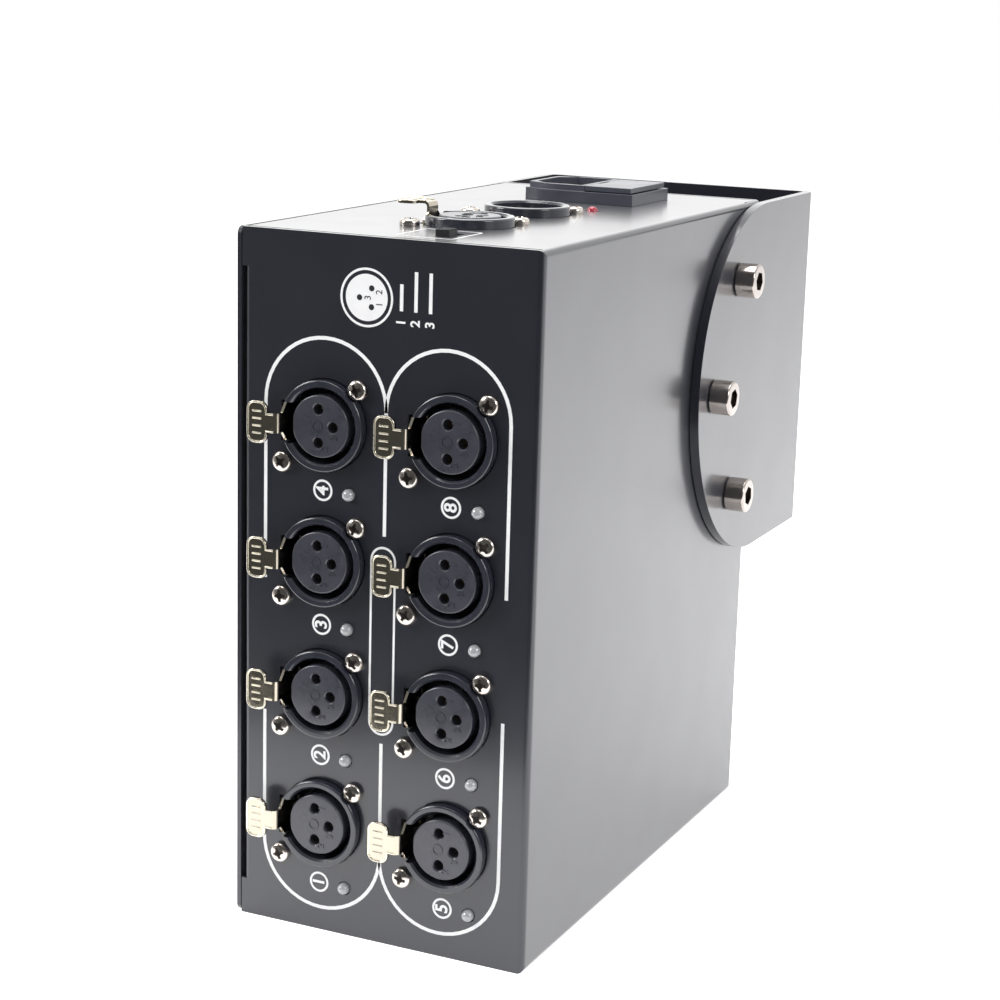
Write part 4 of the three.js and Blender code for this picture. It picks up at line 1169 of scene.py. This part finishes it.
# Printed lines and figures
def loop_line(outer_x, middle_x, gap):
    """One half of the outline round a column of sockets: its two arches and its outer line, broken at gap."""
    radius = abs(outer_x - middle_x) / 2
    centre_x = (outer_x + middle_x) / 2
    top, bottom = LOOP_TOP - radius, LOOP_BOTTOM + radius
    middle_angle = 0.0 if middle_x > outer_x else math.pi
    outer_angle = math.pi - middle_angle
    turn = math.pi if middle_x > outer_x else -math.pi
    upper = arc((centre_x, top), radius, middle_angle, middle_angle + turn, ARCH_STEPS)
    lower = arc((centre_x, bottom), radius, outer_angle, outer_angle + turn, ARCH_STEPS)
    return [ribbon([*upper, (outer_x, gap[1])], LINE), ribbon([(outer_x, gap[0]), *lower], LINE)]


def socket_outlines():
    radius = (LOOP_RIGHT - LOOP_MIDDLE) / 2
    shapes = loop_line(LOOP_LEFT, LOOP_MIDDLE, LEFT_BREAK) + loop_line(LOOP_RIGHT, LOOP_MIDDLE, RIGHT_BREAK)
    shapes.append(ribbon([(LOOP_MIDDLE, MIDDLE_BREAK[1]), (LOOP_MIDDLE, LOOP_TOP - radius)], LINE))
    shapes.append(ribbon([(LOOP_MIDDLE, LOOP_BOTTOM + radius), (LOOP_MIDDLE, MIDDLE_BREAK[0])], LINE))
    across, along = PILL
    pill = rounded_rectangle(across, along, (across[1] - across[0]) / 2)
    shapes.append(ribbon(pill, THIN_LINE, closed=True))
    return group(shapes)


def ring_line(radius, place=(0.0, 0.0)):
    return ribbon(circle(radius, RING_ROUND, place), THIN_LINE, closed=True)


def printed_number(text):
    figure = glyphs(text, NUMBER_HEIGHT, INK, INK_BASE, NUMBER_WEIGHT)
    return group([ring_line(NUMBER_RING_RADIUS), figure])


def pin_legend():
    """A ring and disc for the pin layout, and three plain bars with the pins' numbers."""
    shapes = [
        ring_line(DISC_RING_RADIUS, DISC_CENTRE),
        rod(DISC_RADIUS, (INK_BASE, INK_BASE + INK), place=DISC_CENTRE),
    ]
    for i, (column, end) in enumerate(zip(LEGEND_COLUMNS, LEGEND_BAR_ENDS)):
        figure = glyphs(str(i + 1), LEGEND_NUMBER_HEIGHT, INK, INK_BASE, NUMBER_WEIGHT)
        shapes.append(shifted(figure, column, LEGEND_START))
        shapes.append(ribbon([(column, LEGEND_BAR_START), (column, end)], LINE))
    return group(shapes)


def pin_layout():
    """Dark dots and numbers on the printed disc."""
    x, y = DISC_CENTRE
    level = INK_BASE + INK
    shapes = []
    for i, ((dx, dy), (nx, ny)) in enumerate(zip(DISC_PINS, DISC_NUMBER_OFFSETS)):
        shapes.append(rod(DISC_PIN_RADIUS, (level, level + INK), SMALL_ROUND, (x + dx, y + dy)))
        figure = glyphs(str(i + 1), DISC_NUMBER_HEIGHT, INK, level, DISC_NUMBER_WEIGHT)
        shapes.append(shifted(figure, x + dx + nx, y + dy + ny))
    return group(shapes)


def switch_frame():
    return ribbon(rounded_rectangle(*SWITCH_FRAME, SWITCH_FRAME_CORNER), THIN_LINE, closed=True)


# Pieces of the box and bracket
WORLD = Matrix.Identity(4)
piece("case_sheet", chassis_shape(), WORLD, powder_coat, stands_for=["chassis"], edge=CASE_EDGE)
piece("side_lid", lid_shape(), WORLD, powder_coat, stands_for=["lid"], edge=EDGE)
piece("clamp_bracket", bracket_shape(), WORLD, bracket_coat, stands_for=["bracket"],
      edge=BRACKET_EDGE)


def screw_spin(step):
    """Screws stop at different angles."""
    return Matrix.Rotation(math.radians(SCREW_TURN_STEP * step), 4, "Z")


cap_screw_mesh = mesh_of("cap_screw", cap_screw_shape())
for side, face, outer_x in (("right", RIGHT, bracket_high.x), ("left", LEFT, bracket_low.x)):
    for number in CAP_SCREWS:
        node = f"bracket_screw_{side}_{number}"
        centre = centre_mm(node)
        seat = on(face, outer_x + math.copysign(SEAT_GAP, outer_x), centre.y, centre.z)
        piece(f"cap_screw_{side}_{number}", cap_screw_mesh, seat @ screw_spin(int(number)), oxide_steel,
              stands_for=[node])

lid_screw = cross_screw_shape(LID_SCREW_RADIUS, LID_SCREW_HEIGHT, 0.0, LID_SCREW_LENGTH)
lid_screw_mesh = mesh_of("lid_screw", lid_screw)
# The dark piece in each lid screw's recess is painted shade
lid_recess_shade_mesh = mesh_of("lid_recess_shade", cross_recess_painted_shade(LID_SCREW_HEIGHT))
for number in LID_SCREWS:
    node = f"lid_screw_{number}"
    centre = centre_mm(node)
    place = on(LEFT, LID_OUTER - SEAT_GAP, centre.y, centre.z) @ screw_spin(int(number))
    piece(f"lid_cross_screw_{number}", lid_screw_mesh, place, nickel, stands_for=[node])
    piece(f"lid_cross_{number}", lid_recess_shade_mesh, place, recess_shade)

# Connectors
panel_screw = cross_screw_shape(PAN_RADIUS, PAN_HEIGHT, PAN_SEAT, SHEET + FLANGE_THICKNESS)
panel_screw_mesh = mesh_of("panel_screw", panel_screw)
panel_recess_shade_mesh = mesh_of("panel_recess_shade", cross_recess_painted_shade(PAN_HEIGHT))
socket_shell_mesh = mesh_of("socket_shell", connector_shell(True))
socket_insert_mesh = mesh_of("socket_insert", socket_insert())
contact_mesh = mesh_of("contacts", socket_contacts())
mark_mesh = mesh_of("mould_marks", mould_marks())
latch_mesh = mesh_of("latch", latch_shape())
relief_mesh = mesh_of("latch_relief", latch_relief())
lamp_mesh = mesh_of("lamp", lamp_shape(LAMP_PROUD))


def panel_screws(name, place, turn):
    for i, (x, y) in enumerate(SCREW_OFFSETS):
        seat = place @ Matrix.Translation((x, y, 0)) @ screw_spin(turn + SCREW_PAIR_TURN * i)
        piece(f"{name}_screw_{i + 1}", panel_screw_mesh, seat, nickel)
        # The dark piece in each panel screw's recess is painted shade
        piece(f"{name}_cross_{i + 1}", panel_recess_shade_mesh, seat, recess_shade)


def socket(name, place, shell, insert, latch, turn):
    piece(f"{name}_ring", socket_shell_mesh, place, shell_plastic, stands_for=[shell],
          edge=EDGE)
    piece(f"{name}_face", socket_insert_mesh, place, insert_plastic, stands_for=[insert])
    piece(f"{name}_contacts", contact_mesh, place, brass)
    piece(f"{name}_marks", mark_mesh, place, insert_plastic)
    piece(f"{name}_lever", latch_mesh, place, gold_nickel, latch, stands_for=[latch],
          edge=LATCH_EDGE)
    # The raised rim and bars take the lighter copy of the latch metal, which is painted highlight
    piece(f"{name}_relief", relief_mesh, place, painted_highlight_nickel, latch)
    panel_screws(name, place, turn)


for turn, number in enumerate(OUTPUTS):
    name = f"output_{number}"
    insert = f"output_insert_{number}"
    lamp = f"signal_lamp_{number}"
    place = on_front(insert)
    socket(name, place, f"output_shell_{number}", insert, f"output_latch_{number}", turn)
    piece(f"{name}_lamp", lamp_mesh, on_front(lamp), clear_resin, stands_for=[lamp])
    piece(f"{name}_number", printed_number(number), place @ Matrix.Translation((*NUMBER_OFFSET, 0)),
          white_ink)

socket("link", on_end("link_insert"), "link_shell", "link_insert", "link_latch", len(OUTPUTS))
plug = on_end("input_insert")
piece("input_ring", connector_shell(False), plug, shell_plastic, stands_for=["input_shell"],
      edge=EDGE)
piece("input_floor", plug_insert(), plug, insert_plastic, stands_for=["input_insert"],
      edge=EDGE)
piece("input_pins", plug_pins(), plug, nickel)
panel_screws("input", plug, len(OUTPUTS) + 1)
piece("red_power_lamp", lamp_shape(RED_LAMP_PROUD), on_end("power_lamp"), red_resin,
      stands_for=["power_lamp"])

# Switch, mains inlet and fuse
piece("slide_knob", knob_shape(), WORLD, knob_plastic, "switch_knob",
      stands_for=["switch_knob"], edge=EDGE)
inlet = inlet_place()
piece("inlet_housing", inlet_shape(), inlet, inlet_plastic, stands_for=["power_inlet"],
      edge=INLET_EDGE)
piece("inlet_blades", blades(), inlet, nickel, edge=BLADE_EDGE)
piece("inlet_terminals", terminals(), inlet, nickel, edge=EDGE)
piece("drawer_carrier", drawer_shape(), inlet, inlet_plastic, "fuse_drawer",
      stands_for=["fuse_drawer"], edge=EDGE)
fuse_place = inlet @ Matrix.Translation((DRAWER_MIDDLE, 0, -FUSE_DEPTH))
piece("fuse_tube", fuse_glass_shape(), fuse_place, fuse_glass, "fuse_drawer",
      stands_for=["fuse"])
piece("fuse_ends", fuse_metal_shape(), fuse_place, nickel, "fuse_drawer")

# Print on the paint
front_print = on(FRONT, 0, -HALF_DEPTH, 0)
piece("socket_outlines", socket_outlines(), front_print, white_ink)
piece("pin_legend", pin_legend(), front_print, white_ink)
piece("pin_layout", pin_layout(), front_print, black_ink)
piece("switch_frame", switch_frame(), on(END, 0, 0, HEIGHT), white_ink)

# The frame's own solids inside the box keep their shape
for node, look in (("output_board", solder_mask), ("input_board", solder_mask), ("supply_board", solder_mask),
                   ("transformer", varnished_core), ("switch_body", nickel)):
    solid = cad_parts[node]
    solid.data.materials.clear()
    solid.data.materials.append(look)


# Floor, world, lamps and camera
FLOOR_REACH = 3.0
FLOOR_FRONT = -0.22
FLOOR_LIFT = 0.7
FLOOR_COLOUR = (0.86, 0.86, 0.87, 1)
FLOOR_ROUGHNESS = 0.9
WHITE = (1, 1, 1, 1)
WORLD_DIFFUSE = 0.58
WORLD_FRONT = 0.08
WORLD_BACK = 1.0
WORLD_FADE_START = -0.6
WORLD_FADE_END = 0.4
SOFTBOXES = (
    ("top_softbox", (-0.2, 0.1, 1.3), (0.8, 0.8), 9),
    ("left_softbox", (-1.1, -0.7, 0.8), (0.5, 0.6), 12),
    ("right_softbox", (1.2, -0.3, 0.8), (0.45, 0.55), 6),
    ("back_softbox", (-0.8, 1.6, 0.85), (1.7, 1.0), 3),
)

# The number sockets of a Mix node share their names with its other sockets
NUMBER_A = 2
NUMBER_B = 3


def camera_white(tree, socket, lift):
    """Gives a socket the lift where the camera, a reflection or a clear surface sees it."""
    path = new_node(tree, "LightPath")
    seen = path.outputs["Is Camera Ray"]
    for kind in ("Is Glossy Ray", "Is Transmission Ray"):
        either = new_node(tree, "Math")
        either.operation = "MAXIMUM"
        tree.links.new(seen, either.inputs[0])
        tree.links.new(path.outputs[kind], either.inputs[1])
        seen = either.outputs[0]
    amount = new_node(tree, "Math")
    amount.operation = "MULTIPLY"
    amount.inputs[1].default_value = lift
    tree.links.new(seen, amount.inputs[0])
    tree.links.new(amount.outputs[0], socket)


def floor():
    side, near, far = FLOOR_REACH, FLOOR_FRONT, FLOOR_REACH
    mesh = bpy.data.meshes.new("floor")
    mesh.from_pydata([(-side, near, 0), (side, near, 0), (side, far, 0), (-side, far, 0)], [], [(0, 1, 2, 3)])
    ground = in_scene("floor", mesh)
    look = bpy.data.materials.new("pale_floor")
    look.use_nodes = True
    shader = look.node_tree.nodes["Principled BSDF"]
    shader.inputs["Base Color"].default_value = FLOOR_COLOUR
    shader.inputs["Roughness"].default_value = FLOOR_ROUGHNESS
    shader.inputs["Emission Color"].default_value = WHITE
    camera_white(look.node_tree, shader.inputs["Emission Strength"], FLOOR_LIFT)
    mesh.materials.append(look)


def studio_world():
    """White to the camera; for light and reflections, dim in front of the object and bright behind it."""
    world = bpy.data.worlds.new("studio")
    bpy.context.scene.world = world
    world.use_nodes = True
    tree = world.node_tree
    tree.nodes.clear()
    link = tree.links.new
    split = new_node(tree, "SeparateXYZ")
    link(new_node(tree, "TexCoord").outputs["Generated"], split.inputs["Vector"])
    fade = new_node(tree, "MapRange", From_Min=WORLD_FADE_START, From_Max=WORLD_FADE_END,
                    To_Min=WORLD_FRONT, To_Max=WORLD_BACK)
    link(split.outputs["Y"], fade.inputs["Value"])
    path = new_node(tree, "LightPath")
    strength = fade.outputs["Result"]
    for kind, level in (("Is Diffuse Ray", WORLD_DIFFUSE), ("Is Camera Ray", 1.0)):
        mix = new_node(tree, "Mix")
        mix.inputs[NUMBER_B].default_value = level
        link(path.outputs[kind], mix.inputs["Factor"])
        link(strength, mix.inputs[NUMBER_A])
        strength = mix.outputs[0]
    background = new_node(tree, "Background", Color=WHITE)
    link(strength, background.inputs["Strength"])
    link(background.outputs["Background"], new_node(tree, "OutputWorld").inputs["Surface"])


def area_lamp(name, place, size, power):
    data = bpy.data.lights.new(name, "AREA")
    data.shape = "RECTANGLE"
    data.size, data.size_y = size
    data.energy = power
    lamp = in_scene(name, data)
    lamp.location = place
    lamp.rotation_mode = "QUATERNION"
    target = Vector((0, 0, HEIGHT * MM / 2))
    lamp.rotation_quaternion = (target - Vector(place)).to_track_quat("-Z", "Y")


def camera():
    data = bpy.data.cameras.new("camera")
    data.lens = CAMERA_LENS
    data.sensor_width = CAMERA_SENSOR
    eye = in_scene("camera", data)
    back = -CAMERA_FORWARD.normalized()
    right = CAMERA_UP.cross(back).normalized()
    up = back.cross(right)
    rotation = Matrix((right, up, back)).transposed()
    eye.matrix_world = Matrix.Translation(CAMERA_PLACE) @ rotation.to_4x4()
    bpy.context.scene.camera = eye


camera()
floor()
studio_world()
for softbox in SOFTBOXES:
    area_lamp(*softbox)
bpy.context.scene.view_settings.view_transform = "Standard"
